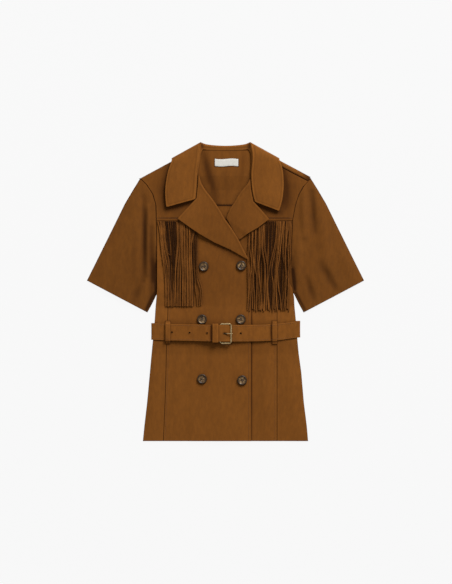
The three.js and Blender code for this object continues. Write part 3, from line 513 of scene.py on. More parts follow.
def tree_of(name):
    """Ray tree of a finished piece, kept for the pieces that lie on it."""
    if FINISHED.get(name) is None:
        mesh = bpy.data.objects[name].data
        FINISHED[name] = BVHTree.FromPolygons(
            [v.co.copy() for v in mesh.vertices], [tuple(p.vertices) for p in mesh.polygons]
        )
    return FINISHED[name]


def height_over(names, x, y, default=0.0):
    """Highest surface of the named pieces under a point given in metres."""
    best = default
    for name in names:
        hit = tree_of(name).ray_cast(Vector((x, y, RAY_TOP)), DOWN)[0]
        if hit is not None:
            best = max(best, hit.z)
    return best


# Folds of the cloth. Each ridge or hollow runs along a line: its ends, half width and height in mm.


def ridge(points, start, end, width, height):
    """Height of one soft ridge over an array of points in mm, fading out past its ends."""
    a = np.array(start, dtype=float)
    b = np.array(end, dtype=float)
    along = (points - a) @ (b - a) / max(float((b - a) @ (b - a)), 1e-9)
    near = a + np.clip(along, 0.0, 1.0)[:, None] * (b - a)
    away = np.linalg.norm(points - near, axis=1) / width
    fade = 0.55 + 0.45 * np.sin(math.pi * np.clip(along, 0.0, 1.0))
    return height * fade * np.exp(-away * away)


SKIRT_FOLDS = [
    ((-104, -150), (-112, -340), 22, 1.3),
    ((-20, -165), (-12, -330), 26, 1.0),
    ((92, -140), (96, -345), 16, 1.5),
    ((150, -150), (168, -345), 15, 1.4),
    ((-160, -145), (-172, -340), 14, 1.3),
    ((30, -150), (34, -250), 18, 0.9),
]
WAIST_FOLDS = [
    ((-120, -15), (-118, -58), 9, 1.5),
    ((-88, 5), (-94, -58), 8, 1.2),
    ((-20, 10), (-26, -55), 12, 1.1),
    ((5, -20), (2, -58), 7, 0.9),
    ((85, -30), (88, -60), 8, 1.0),
    ((104, -45), (110, -62), 5, 0.9),
    ((140, -20), (148, -60), 7, 1.2),
    ((-150, -30), (-154, -62), 6, 1.2),
]
# Height of the belt's middle in mm, where the cloth is held flat
BELT_HEIGHT = -94
CHEST_FOLDS = [
    ((-20, 90), (-30, 30), 16, 0.8),
    ((10, 60), (0, 10), 14, 0.7),
]


def body_folds(points):
    """Lift of the front of the body over its flat lie, the same for every layer of it."""
    total = np.zeros(len(points))
    for fold in SKIRT_FOLDS + WAIST_FOLDS + CHEST_FOLDS:
        total += ridge(points, *fold)
    clear = np.clip((np.abs(points[:, 1] - BELT_HEIGHT) - 24) / 26, 0.0, 1.0)
    side = np.clip((200 - np.abs(points[:, 0])) / 14, 0.0, 1.0)
    return total * clear * clear * (3 - 2 * clear) * side


# Flat sheets


def outline_of(cloth, upward):
    """Ordered rim of the largest patch of upper faces of a merged mesh, in metres."""
    cloth.faces.index_update()
    cloth.verts.index_update()
    top = {face.index for face in cloth.faces if face.normal.z > upward}

    def on_rim(corner):
        return sum(face.index in top for face in corner.edge.link_faces) == 1

    loops = []
    done = set()
    for face in cloth.faces:
        for corner in face.loops:
            if face.index not in top or not on_rim(corner):
                continue
            run = []
            while (corner.face.index, corner.vert.index) not in done:
                done.add((corner.face.index, corner.vert.index))
                run.append(corner.vert.co[:])
                corner = corner.link_loop_next
                while not on_rim(corner):
                    corner = corner.link_loop_radial_next.link_loop_next
            if len(run) > 2:
                loops.append(np.array(run))
    return max(loops, key=lambda run: abs(signed_area(run)))


def tidied(loop, least=1.5 * MM, slit=math.radians(176)):
    """The loop without points that crowd the one before them, or that turn straight back."""
    kept = list(loop)
    k = 0
    while k < len(kept):
        here = kept[k][:2]
        came = here - kept[k - 1][:2]
        goes = kept[(k + 1) % len(kept)][:2] - here
        turn = abs(math.atan2(came[0] * goes[1] - came[1] * goes[0], came @ goes))
        if np.linalg.norm(came) < least or turn > slit:
            del kept[k]
            k = 0
        else:
            k += 1
    return np.array(kept)


def evenly(points, step, closed=True):
    """Points along a polyline no more than a step apart, with its corners kept."""
    run = np.vstack([points, points[:1]]) if closed else points
    made = []
    for a, b in zip(run[:-1], run[1:]):
        count = max(int(math.ceil(np.linalg.norm(b[:2] - a[:2]) / step)), 1)
        made.extend(a + (b - a) * k / count for k in range(count))
    if not closed:
        made.append(run[-1])
    return np.array(made)


def inward(loop, distance):
    """The counterclockwise loop moved into its own area, corners mitred."""
    ahead = np.roll(loop, -1, axis=0)[:, :2] - loop[:, :2]
    ahead /= np.maximum(np.linalg.norm(ahead, axis=1, keepdims=True), 1e-12)
    behind = np.roll(ahead, 1, axis=0)
    normal = np.stack([-(ahead + behind)[:, 1], (ahead + behind)[:, 0]], axis=1)
    length = np.maximum(np.linalg.norm(normal, axis=1, keepdims=True), 1e-9)
    normal /= length
    mitre = np.clip(2.0 / length, 1.0, 2.2)
    return loop[:, :2] + normal * mitre * distance


def signed_area(loop):
    """Area of a closed loop, below 0 where it runs clockwise."""
    x, y = loop[:, 0], loop[:, 1]
    return 0.5 * float(np.sum(x * np.roll(y, -1) - np.roll(x, -1) * y))


def inside(points, loop):
    """Which points lie inside a closed loop."""
    x, y = points[:, 0], points[:, 1]
    found = np.zeros(len(points), dtype=bool)
    for a, b in zip(loop, np.roll(loop, -1, axis=0)):
        crosses = (a[1] > y) != (b[1] > y)
        if crosses.any():
            reach = (b[0] - a[0]) * (y - a[1]) / (b[1] - a[1] + 1e-15) + a[0]
            found ^= crosses & (x < reach)
    return found


def distance_to(points, loop, closed=True):
    """Distance from each point to a polyline."""
    best = np.full(len(points), 1e9)
    ends = np.roll(loop, -1, axis=0) if closed else loop[1:]
    starts = loop if closed else loop[:-1]
    for a, b in zip(starts, ends):
        run = b - a
        t = np.clip((points - a) @ run / max(float(run @ run), 1e-15), 0.0, 1.0)
        away = points - (a + t[:, None] * run)
        best = np.minimum(best, np.einsum("ij,ij->i", away, away))
    return np.sqrt(best)


# Rows of points that follow a sheet's rim, and rows beside a guide line, all in mm from it
EDGE_RINGS = (1.4, 3.0, 5.2)
GUIDE_OFFSETS = (-3.4, -1.5, 0.0, 1.5, 3.4)


def guide_points(lines, step):
    """Close rows of points along and beside lines given in mm, where a seam needs a fine mesh."""
    made = []
    for line in lines:
        dense = evenly(np.array(line, dtype=float), step / MM * 0.75, closed=False)
        ahead = np.gradient(dense, axis=0)
        ahead /= np.maximum(np.linalg.norm(ahead, axis=1, keepdims=True), 1e-9)
        across = np.stack([-ahead[:, 1], ahead[:, 0]], axis=1)
        made.extend(dense + across * offset for offset in GUIDE_OFFSETS)
    return np.vstack(made) * MM


def lay_sheet(name, thickness, step, rim_round, relief, upward=0.12, guides=()):
    """Closed cloth of even thickness over the upper face of a CAD node.

    relief(points, edge) gives the lift in mm at points in mm, edge being how far they are from the rim.
    guides are lines in mm that get close rows of points.
    """
    solid = merged_copy(name)
    outline = evenly(tidied(outline_of(solid, upward)), step)
    if signed_area(outline) < 0:
        outline = outline[::-1]
    rim = outline[:, :2]
    top_ring = inward(outline, rim_round)
    candidates = [top_ring]
    for ring in EDGE_RINGS:
        moved = inward(outline, ring * MM)
        far = distance_to(moved, rim) > ring * MM * 0.92
        candidates.append(moved[far & inside(moved, rim)])
    low, high = rim.min(0), rim.max(0)
    xs = np.arange(low[0], high[0], step)
    ys = np.arange(low[1], high[1], step * 0.87)
    grid = np.array([(x + (row % 2) * step / 2, y) for row, y in enumerate(ys) for x in xs])
    grid = grid[inside(grid, rim)]
    grid = grid[distance_to(grid, rim) > (EDGE_RINGS[-1] * MM + 0.55 * step)]
    if guides:
        rows = guide_points(guides, step)
        rows = rows[inside(rows, rim)]
        rows = rows[distance_to(rows, rim) > (EDGE_RINGS[-1] + 1.0) * MM]
        clear = (GUIDE_OFFSETS[-1] + 1.6) * MM
        for line in guides:
            grid = grid[distance_to(grid, np.array(line, dtype=float) * MM, closed=False) > clear]
        candidates.append(rows)
    candidates.append(grid)
    flat = np.vstack(candidates)
    count = len(top_ring)
    loop_edges = [(k, (k + 1) % count) for k in range(count)]
    verts, _, faces, origin, _, _ = delaunay_2d_cdt([Vector(p) for p in flat], loop_edges, [], 1, 1e-7)
    flat = np.array([v[:] for v in verts])
    place = {source: k for k, sources in enumerate(origin) for source in sources}
    ring = [place[k] for k in range(count)]
    tree = BVHTree.FromBMesh(solid)
    solid.free()

    def top_of(x, y):
        hit = tree.ray_cast(Vector((x, y, RAY_TOP)), DOWN)[0]
        return hit.z if hit is not None else tree.find_nearest(Vector((x, y, 0.01)))[0].z

    def lifted(points):
        edge = distance_to(points, rim) / MM
        base = np.array([top_of(x, y) for x, y in points])
        return base + relief(points / MM, edge) * MM, edge

    top, edge = lifted(flat)
    used = len(flat)
    outer_top = top[ring]
    upper = np.column_stack([flat, top])
    lower = np.column_stack([flat, top - thickness])
    shoulder = np.column_stack([rim, outer_top - rim_round])
    heel = np.column_stack([rim, outer_top - thickness + rim_round])
    points = np.vstack([upper, lower, shoulder, heel])
    upper_faces = [tuple(f) for f in faces]
    first = upper_faces[0]
    a, b, c = (flat[k] for k in first[:3])
    if (b[0] - a[0]) * (c[1] - a[1]) - (b[1] - a[1]) * (c[0] - a[0]) < 0:
        upper_faces = [f[::-1] for f in upper_faces]
    lower_faces = [tuple(k + used for k in f[::-1]) for f in upper_faces]
    sides = []
    for k in range(count):
        n = (k + 1) % count
        rings = [
            (ring[k], ring[n]),
            (2 * used + k, 2 * used + n),
            (2 * used + count + k, 2 * used + count + n),
            (used + ring[k], used + ring[n]),
        ]
        for (p, q), (r, s) in zip(rings[:-1], rings[1:]):
            sides.append((p, r, s, q))
    mesh = bpy.data.meshes.new(name + "_cloth")
    mesh.from_pydata(points.tolist(), [], upper_faces + lower_faces + sides)
    mesh.update()
    add_attribute(mesh, "edge_mm", np.concatenate([edge, edge, np.zeros(2 * count)]))
    return mesh


def shade_of(mesh, spots):
    """Stores painted shade and shadow: soft dark spots given as ridges."""
    points = np.array([v.co[:2] for v in mesh.vertices]) / MM
    total = np.zeros(len(points))
    for spot in spots:
        total += ridge(points, *spot)
    add_attribute(mesh, "shade", np.clip(total, 0.0, 0.9))


def plain_folds(points, edge):
    return body_folds(points)


def no_folds(points, edge):
    return np.zeros(len(points))


# Smooth copies of solids whose cloth turns over


# How close together the rims' points are that distances to a rim are measured from
RIM_SAMPLE = 1.0 * MM


def smooth_copy(name, levels, corner=62.0, bevel=0.35, keep_rim=False, tip=1.0):
    """Subdivided copy of a CAD node: sharp rims kept and rounded, everything else made smooth.

    keep_rim holds each point of the rims where it is, so that a seam stays closed. A tip below 1
    rounds the corners of the outline.
    """
    cloth = merged_copy(name)
    crease = cloth.edges.layers.float.new("crease_edge")
    point_crease = cloth.verts.layers.float.new("crease_vert")
    sharp = set()
    for edge in cloth.edges:
        run = edge.verts[1].co - edge.verts[0].co
        upright = tip < 1 and abs(run.z) > 0.7 * run.length
        if len(edge.link_faces) == 2 and edge.calc_face_angle(0.0) > math.radians(corner) and not upright:
            sharp.add(edge)
            edge[crease] = 1.0
    for vert in cloth.verts:
        joined = [edge for edge in vert.link_edges if edge in sharp]
        if len(joined) > 2 or (joined and keep_rim):
            vert[point_crease] = 1.0
        elif len(joined) == 2:
            u = joined[0].other_vert(vert).co - vert.co
            v = joined[1].other_vert(vert).co - vert.co
            if u.length > 1e-9 and v.length > 1e-9 and math.degrees(u.angle(v)) < 140:
                vert[point_crease] = tip
    rim_lines = [(e.verts[0].co.copy(), e.verts[1].co.copy()) for e in sharp]
    draft = draft_of(name + "_draft", plain_mesh(name + "_smooth", cloth))
    rounded = draft.modifiers.new("Smooth", "SUBSURF")
    rounded.levels = rounded.render_levels = levels
    made = evaluated_mesh(draft)
    round_edges(draft, bevel, 2, 50)
    made = evaluated_mesh(draft)
    bpy.data.objects.remove(draft)
    made.name = name + "_cloth"
    samples = []
    for a, b in rim_lines:
        count = max(int((b - a).length / RIM_SAMPLE), 1)
        samples.extend(a.lerp(b, k / count) for k in range(count + 1))
    near = KDTree(len(samples))
    for k, sample in enumerate(samples):
        near.insert(sample, k)
    near.balance()
    add_attribute(made, "edge_mm", [near.find(v.co)[2] / MM for v in made.vertices])
    return made


def refined(mesh, step):
    """The mesh with every edge cut until none is longer than a step."""
    fine = bmesh.new()
    fine.from_mesh(mesh)
    for _ in range(7):
        long_edges = [edge for edge in fine.edges if edge.calc_length() > step * 1.3]
        if not long_edges:
            break
        bmesh.ops.subdivide_edges(fine, edges=long_edges, cuts=1)
        bmesh.ops.triangulate(fine, faces=[face for face in fine.faces if len(face.verts) > 4])
    fine.to_mesh(mesh)
    fine.free()
    return mesh


def push(mesh, lift):
    """Raises a mesh's points by lift(points in mm) in mm."""
    co = np.array([v.co[:] for v in mesh.vertices])
    co[:, 2] += lift(co / MM) * MM
    mesh.vertices.foreach_set("co", co.ravel())
    mesh.update()


# Height in mm of the line that is stitched above the yokes' lower edges
YOKE_LINE = 172.8
# Lines in mm beside which a panel's mesh is finer: under the top front's edge, and where a yoke is stitched
SEAM_LINES = {
    "front_left": [[(61, 75), (61, -346)]],
    "front_right": [[(54, 40), (54, -346)]],
    "front_yoke_right": [[(-164, YOKE_LINE), (-62, YOKE_LINE)]],
    "front_yoke_left": [[(56, YOKE_LINE), (158, YOKE_LINE)]],
}


# Operators


class JacketPiece:
    """What the operators share."""

    bl_options = {"REGISTER", "UNDO"}

    @property
    def cloth(self):
        return bpy.context.scene.jacket_cloth

    @property
    def trim(self):
        return bpy.context.scene.jacket_trim

    @property
    def stage(self):
        return bpy.context.scene.jacket_stage

    @property
    def step(self):
        return self.cloth.sheet_step * 1.0


def wall_of(name):
    """Thickness of a panel's solid: from its underside to its top at one point."""
    solid = merged_copy(name)
    tree = BVHTree.FromBMesh(solid)
    level = [face for face in solid.faces if face.normal.z > 0.95]
    middle = max(level, key=lambda face: face.calc_area()).calc_center_median()
    under = tree.ray_cast(middle + 1e-5 * DOWN, DOWN)[0]
    solid.free()
    return middle.z - under.z


# Painted shade and shadow on the body panels, along edges and seams, under the lapels' lower edges,
# across the chest, inside the neck and at the armhole: the ends of each soft spot, its half width in mm
# and its depth
BODY_SHADES = {
    "front_right": [
        ((54, 48), (54, -348), 1.5, 0.12),
        ((-30, 130), (-10, -60), 95, 0.3),
        ((-66, 146), (44, 68), 10, 0.4),
    ],
    "front_left": [
        ((61, 64), (61, -348), 2.4, 0.75),
        ((80, 20), (82, -330), 18, 0.1),
        ((36, 116), (104, 154), 9, 0.4),
        ((100, 120), (110, -60), 60, 0.15),
    ],
    "side_front_right": [((-172, -130), (-186, -330), 9, 0.12)],
    "side_front_left": [((128, -130), (128, -330), 7, 0.1), ((151, 50), (156, 18), 3.5, 0.8)],
    "back_panel": [((0, 190), (0, 130), 60, 0.3), ((-70, 201), (70, 201), 2.5, 0.35)],
}


class JACKET_OT_body(JacketPiece, bpy.types.Operator):
    """Back, side fronts and fronts, each a sheet with painted shade at its seams and soft folds"""

    bl_idname = "jacket.body"
    bl_label = "Body panels"

    def execute(self, context):
        for name in BODY_PANELS:
            relief = no_folds if name == "back_panel" else plain_folds
            mesh = lay_sheet(
                name, wall_of(name), self.step, self.cloth.rim_round, relief, guides=SEAM_LINES.get(name, ())
            )
            shade_of(mesh, BODY_SHADES[name])
            stand_in(name, mesh, "napped cloth")
        return {"FINISHED"}


# Painted shade on the yokes: towards the sleeve, beside and under the collar's leaf, and in the groove
# of the stitched line
YOKE_SHADES = {
    "front_yoke_right": [
        ((-112, 300), (-134, 172), 55, 0.55),
        ((-130, 300), (-142, 204), 12, 0.5),
        ((-138, 192), (-72, 212), 8, 0.5),
        ((-62, YOKE_LINE), (-158, YOKE_LINE), 1.5, 0.7),
    ],
    "front_yoke_left": [
        ((112, 300), (134, 172), 55, 0.7),
        ((130, 300), (142, 204), 12, 0.5),
        ((72, 204), (128, 186), 8, 0.6),
        ((62, YOKE_LINE), (158, YOKE_LINE), 1.5, 0.7),
    ],
}
# Painted shade and shadow inside the neck, where the back yoke is seen between the collar's leaves
NECK_SHADES = [
    ((-50, 328), (-21, 208), 10, 0.6),
    ((-49, 320), (-42, 260), 8, 0.3),
    ((44, 330), (37, 262), 6, 0.35),
    ((0, 290), (0, 200), 60, 0.34),
    ((2, 290), (2, 206), 4, 0.12),
    ((-40, 336), (38, 336), 6, 0.4),
    ((-70, 204.5), (70, 204.5), 2.5, 0.4),
]


class JACKET_OT_yokes(JacketPiece, bpy.types.Operator):
    """Front yokes, and the back yoke that turns over the left shoulder"""

    bl_idname = "jacket.yokes"
    bl_label = "Yokes"

    def execute(self, context):
        for name in YOKES:
            mesh = lay_sheet(
                name, wall_of(name), self.step, self.cloth.rim_round, no_folds, guides=SEAM_LINES[name]
            )
            shade_of(mesh, YOKE_SHADES[name])
            stand_in(name, mesh, "napped cloth")
        mesh = refined(smooth_copy("back_yoke", 0, bevel=0.3), self.step)
        shade_of(mesh, NECK_SHADES)
        stand_in("back_yoke", mesh, "napped cloth", smooth=False)
        return {"FINISHED"}


# Painted shade at the collar's two outer corners behind the neck, and over the lapels
COLLAR_SHADES = [((-57, 349), (-53, 336), 4, 0.8), ((58, 349), (55, 336), 4, 0.8)]
LAPEL_SHADES = [((-60, 200), (80, 140), 150, 0.2)]


def crowned(points):
    """Lift in mm of the collar's leaves at points in mm: a low crown with a slow wave along it."""
    aside = np.abs(points[:, 0])
    high = np.clip((points[:, 2] - 5.5) / 3.0, 0.0, 1.0)
    leaf = np.clip((aside - 78) / 24, 0.0, 1.0) * np.clip((136 - aside) / 22, 0.0, 1.0)
    wave = 0.35 * np.sin(points[:, 1] / 17.0 + np.sign(points[:, 0]))
    return high * leaf * (1.1 + wave)


def rolled(points, edge):
    """Lift in mm of a lapel: fuller at its rolled edge, with a low crown in its middle."""
    full = 0.35 * np.exp(-(((edge - 2.8) / 2.2) ** 2))
    crown = 0.5 * np.clip(edge / 30.0, 0.0, 1.0)
    return full + crown


class JACKET_OT_collar(JacketPiece, bpy.types.Operator):
    """Collar and lapels, their leaves a little crowned and their edges rolled"""

    bl_idname = "jacket.collar"
    bl_label = "Collar and lapels"

    def execute(self, context):
        mesh = smooth_copy("collar", 3, bevel=0.45, tip=0.5)
        push(mesh, crowned)
        shade_of(mesh, COLLAR_SHADES)
        stand_in("collar", mesh, "collar cloth")
        for name in LAPELS:
            mesh = lay_sheet(name, wall_of(name), self.step, self.cloth.rim_round, rolled, upward=0.85)
            shade_of(mesh, LAPEL_SHADES)
            stand_in(name, mesh, "lapel cloth")
        return {"FINISHED"}


# Folds of the sleeves' upper cloth, ridges and hollows as on the body
SLEEVE_FOLDS = {
    "right": [
        ((-191, 222), (-193, 25), 6.0, -2.2),
        ((-182, 200), (-183, 40), 4.6, 2.0),
        ((-174, 150), (-172, 25), 6.5, -2.2),
        ((-214, 205), (-226, 40), 15, 2.6),
        ((-240, 160), (-258, 20), 15, 1.6),
        ((-200, 20), (-214, -22), 9, -1.8),
        ((-276, 90), (-296, 40), 12, 1.2),
    ],
    "left": [
        ((182, 240), (185, 130), 7.5, 3.0),
        ((203, 232), (209, 140), 7.0, -2.4),
        ((222, 200), (238, 60), 13, 2.2),
        ((226, 62), (258, 6), 9, -2.2),
        ((192, 30), (206, -18), 7, -2.0),
        ((172, 130), (170, 30), 8, 2.0),
        ((276, 90), (292, 40), 13, 1.4),
    ],
}
# Painted shade where a sleeve goes under the body's edge, along its underarm seam and in two of the
# right sleeve's folds
SLEEVE_SHADES = {
    "right": [
        ((-168, 74), (-175, -28), 7, 0.55),
        ((-163, 66), (-164, -20), 3.4, 1.1),
        ((-165.5, -5), (-188, -46), 4.2, 1.3),
        ((-187, 190), (-186, 40), 7, 0.35),
        ((-212, 150), (-216, 20), 6, 0.22),
    ],
    "left": [
        ((158, 78), (165, -10), 6, 0.5),
        ((158, 52), (163, 6), 3.6, 1.1),
        ((166, -4), (188, -44), 3.4, 0.8),
    ],
}
# Painted shade in a hollow of a sleeve for each mm of its depth
HOLLOW_SHADE = 0.24


class JACKET_OT_sleeves(JacketPiece, bpy.types.Operator):
    """Short sleeves, flat tubes with the folds that fall from the armhole"""

    bl_idname = "jacket.sleeves"
    bl_label = "Sleeves"

    def execute(self, context):
        for side, folds in SLEEVE_FOLDS.items():
            name = "sleeve_" + side
            mesh = refined(smooth_copy(name, 3, bevel=0.3, keep_rim=True), self.step * 0.8)

            def folded(points, folds=folds):
                high = np.clip((points[:, 2] - 1.7) / 1.2, 0.0, 1.0)
                return high * sum(ridge(points[:, :2], *fold) for fold in folds)

            push(mesh, folded)
            hollow_shades = [(a, b, width, -HOLLOW_SHADE * height) for a, b, width, height in folds if height < 0]
            shade_of(mesh, hollow_shades + SLEEVE_SHADES[side])
            stand_in(name, mesh, "sleeve cloth")
        return {"FINISHED"}


# Distance in mm at which the cloth's finish shows neither the painted shade of a seam nor the paler rim
# beside it
FAR_FROM_EDGE = 9.0


# Seam allowances: narrow strips under the joints, dark all over with painted shade, which show only as
# the dark of the seam


def seam_strip(name, rows, thickness):
    """A thin strip through rows of (one side, other side) points in metres."""
    strip = bmesh.new()
    upper = [[strip.verts.new(p) for p in row] for row in rows]
    lower = [[strip.verts.new((x, y, z - thickness)) for x, y, z in row] for row in rows]
    last = len(rows) - 1
    for k in range(last):
        strip.faces.new((upper[k][0], upper[k][1], upper[k + 1][1], upper[k + 1][0]))
        strip.faces.new((lower[k][0], lower[k + 1][0], lower[k + 1][1], lower[k][1]))
        for side in (0, 1):
            strip.faces.new((upper[k][side], upper[k + 1][side], lower[k + 1][side], lower[k][side]))
    for k in (0, last):
        strip.faces.new((upper[k][0], upper[k][1], lower[k][1], lower[k][0]))
    bmesh.ops.recalc_face_normals(strip, faces=strip.faces)
    mesh = plain_mesh(name, strip)
    add_attribute(mesh, "edge_mm", np.full(len(mesh.vertices), FAR_FROM_EDGE))
    # Painted shade: the whole strip is dark, as the shadow in the seam's gap
    add_attribute(mesh, "shade", np.full(len(mesh.vertices), 0.95))
    return mesh


# Heights in mm of the rows of an armhole's strip, how far out its seam is looked for, and from where
ARMHOLE_RUN = range(262, 72, -4)
ARMHOLE_OUTER = 205.0
ARMHOLE_INNER = 150.0
# How far an armhole's strip reaches under the cloth, and the clearances that keep it there, in mm
SEAM_REACH = 2.6
SEAM_INSET = 1.2
BODY_WALL = 1.55
SLEEVE_WALL = 1.4
LOWEST = 1.3
# The back yoke's strip, a dark line of painted shadow over the seam: where its rows are, how far it
# reaches to each side, and its lift over the cloth
BACK_SEAM_RUN = range(-30, 27, 6)
BACK_SEAM_REACH = 1.6
BACK_SEAM_LIFT = 0.15
# Either side of a row, in mm, where an edge is looked for too
NEARBY = 1.5


def edge_of(names, sign, y, start, step):
    """First x from the middle outwards, in mm, where the named pieces end (step > 0) or begin beside y."""
    found = []
    for shift in (-NEARBY, NEARBY):
        x = start
        while x < ARMHOLE_OUTER and (height_over(names, sign * x * MM, (y + shift) * MM) > 0) == (step > 0):
            x += abs(step)
        found.append(x)
    return max(found) if step > 0 else min(found)


class JACKET_OT_seams(JacketPiece, bpy.types.Operator):
    """Seam allowances under both armholes and under the back yoke, dark with painted shade"""

    bl_idname = "jacket.seams"
    bl_label = "Seam allowances"

    def execute(self, context):
        thin = 0.2 * MM
        for side, sign in (("right", -1), ("left", 1)):
            body = [name + "_cloth" for name in ("front_yoke_" + side, "side_front_" + side)]
            sleeve = ["sleeve_" + side + "_cloth"]
            rows = []
            for y in ARMHOLE_RUN:
                inner = edge_of(body, sign, y, ARMHOLE_INNER, 0.2) - SEAM_INSET
                outer = edge_of(sleeve, sign, y, inner + 0.4, -0.2) + SEAM_INSET
                shifts = (-NEARBY, 0, NEARBY)
                tops = [height_over(body, sign * inner * MM, (y + shift) * MM) for shift in shifts]
                under_body = max(tops) - BODY_WALL * MM
                under_sleeve = height_over(sleeve, sign * outer * MM, y * MM) - SLEEVE_WALL * MM
                low = max(min(under_body, under_sleeve), LOWEST * MM)
                rows.append((
                    (sign * (inner - SEAM_REACH) * MM, y * MM, under_body),
                    (sign * (outer + SEAM_REACH / 2) * MM, y * MM, low),
                ))
            tip = [tuple(2 * a - b for a, b in zip(*pair)) for pair in zip(rows[0], rows[1])]
            rows.insert(0, tuple(tip))
            name = "armhole_seam_" + side
            piece = new_piece(name, seam_strip(name, rows, thin), "napped cloth", smooth=False)
        joined = ["back_panel_cloth", "back_yoke_cloth"]
        lower, upper = BACK_SEAM - BACK_SEAM_REACH, BACK_SEAM + BACK_SEAM_REACH
        high = max(height_over(joined, 0, y * MM) for y in (lower, upper)) + BACK_SEAM_LIFT * MM
        rows = [((x * MM, lower * MM, high), (x * MM, upper * MM, high)) for x in BACK_SEAM_RUN]
        # A line of painted shadow over the back yoke's seam, in the fringe's cloth for its deeper dark
        name = "back_yoke_seam_shadow"
        piece = new_piece(name, seam_strip(name, rows, thin), "fringe cloth", smooth=False)
        return {"FINISHED"}


# Geometry node helpers


def geometry_tree(name, sizes):
    """An empty geometry group that takes a geometry, named sizes and a material."""
    inputs = [("Geometry", "NodeSocketGeometry", None), *sizes, ("Material", "NodeSocketMaterial", None)]
    return group_tree("GeometryNodeTree", name, inputs, [("Geometry", "NodeSocketGeometry")])


def hand_out(tree, geometry, given, outside):
    """Makes instances real, sets the material and hands the mesh out."""
    real = node(tree, "GeometryNodeRealizeInstances", {0: geometry})
    paint = {"Geometry": real.outputs[0], "Material": given["Material"]}
    painted = node(tree, "GeometryNodeSetMaterial", paint)
    tree.links.new(painted.outputs[0], outside.inputs["Geometry"])
    return tree


# Fringe


def ribbon_tree(width, thickness, seed):
    """Turns guide lines into flat, softly twisted ribbons with rounded corners."""
    tree, inside_, outside = geometry_tree("Fringe ribbons", [
        ("Strand width", "NodeSocketFloat", width),
        ("Strand thickness", "NodeSocketFloat", thickness),
        ("Twist", "NodeSocketFloat", 0.75),
        ("Seed", "NodeSocketInt", seed),
    ])
    given = inside_.outputs
    lines = node(tree, "GeometryNodeMeshToCurve", {"Mesh": given["Geometry"]})
    place = node(tree, "GeometryNodeInputPosition")
    stretch = {0: place.outputs[0], 1: (330.0, 16.0, 0.0)}
    spread = node(tree, "ShaderNodeVectorMath", stretch, operation="MULTIPLY")
    wander = node(
        tree, "ShaderNodeTexNoise", {"Vector": spread.outputs[0], "W": given["Seed"], "Detail": 1.0},
        noise_dimensions="4D",
    )
    spin = product(tree, ranged(tree, wander.outputs[0], 0.3, 0.7, -1.0, 1.0), given["Twist"])
    tilted = node(tree, "GeometryNodeSetCurveTilt", {"Curve": lines.outputs[0], "Tilt": spin})
    section = node(
        tree, "GeometryNodeCurvePrimitiveQuadrilateral",
        {"Width": given["Strand width"], "Height": given["Strand thickness"]},
    )
    corner = product(tree, given["Strand thickness"], 0.3)
    rounded = node(
        tree, "GeometryNodeFilletCurve", {"Curve": section.outputs[0], "Radius": corner}, mode="BEZIER"
    )
    profile = node(tree, "GeometryNodeResampleCurve", {"Curve": rounded.outputs[0], "Count": 12})
    swept = node(
        tree, "GeometryNodeCurveToMesh",
        {"Curve": tilted.outputs[0], "Profile Curve": profile.outputs[0], "Fill Caps": True},
    )
    smooth = node(tree, "GeometryNodeSetShadeSmooth", {0: swept.outputs[0]})
    return hand_out(tree, smooth.outputs[0], given, outside)


def set_input(modifier, tree, label, value):
    """Sets a modifier's input by the socket's identifier."""
    for item in tree.interface.items_tree:
        if item.item_type == "SOCKET" and item.in_out == "INPUT" and item.name == label:
            modifier[item.identifier] = value


def lines_object(name, lines):
    """A draft object holding open polylines as mesh edges, and each line's number."""
    points, edges, owner = [], [], []
    for number, line in enumerate(lines):
        start = len(points)
        points.extend(line)
        owner.extend([number] * len(line))
        edges.extend((start + k, start + k + 1) for k in range(len(line) - 1))
    mesh = bpy.data.meshes.new(name)
    mesh.from_pydata([tuple(p) for p in points], edges, [])
    add_attribute(mesh, "line", owner)
    return draft_of(name, mesh)


def run_tree(draft, tree, **inputs):
    """Evaluates a node tree on a draft object and hands back the plain mesh."""
    modifier = draft.modifiers.new("Make", "NODES")
    modifier.node_group = tree
    for label, value in inputs.items():
        set_input(modifier, tree, label.replace("_", " "), value)
    draft.update_tag()
    bpy.context.view_layer.update()
    mesh = evaluated_mesh(draft)
    bpy.data.objects.remove(draft)
    return mesh


# Rows of strands, in mm: where they hang from the yoke seam and where they end, each from and to;
# height of their ends, how many, which layer above the cloth, darkness (painted shade, deepest on the
# lowest layer), sway
FRINGE_ROWS = {
    "right": [
        ((-158, -66), (-141, -77), -34, 22, 0, 0.85, 1.3),
        ((-159, -70), (-141, -77), -34.5, 19, 1, 0.0, 1.1),
        ((-113, -86), (-113, -84), -34.5, 6, 2, 0.0, 1.2),
    ],
    "left": [
        ((60, 154), (62, 144), -40, 22, 0, 0.9, 2.5),
        ((57, 154), (53, 147), -42, 19, 1, 0.08, 3.6),
        ((120, 152), (114, 143), -43, 5, 2, 0.0, 5.0),
        ((62, 98), (68, 92), -41, 5, 2, 0.0, 4.0),
    ],
}
# Strands that hang apart from the rest, each by its turning points in mm
FRINGE_LOOSE = {
    "right": [
        [(-72, 166), (-69, 80), (-67, 35), (-59, 0), (-61, -33.5)],
        [(-68, 166), (-66, 80), (-64, 40), (-55, 2), (-57, -32.5)],
        [(-75, 166), (-74, 60), (-71, 20), (-66, -34)],
    ],
    "left": [
        [(58, 166), (56, 110), (62, 60), (55, 20), (52, -44)],
        [(150, 166), (143, 120), (150, 60), (138, 10), (147, -40)],
    ],
}
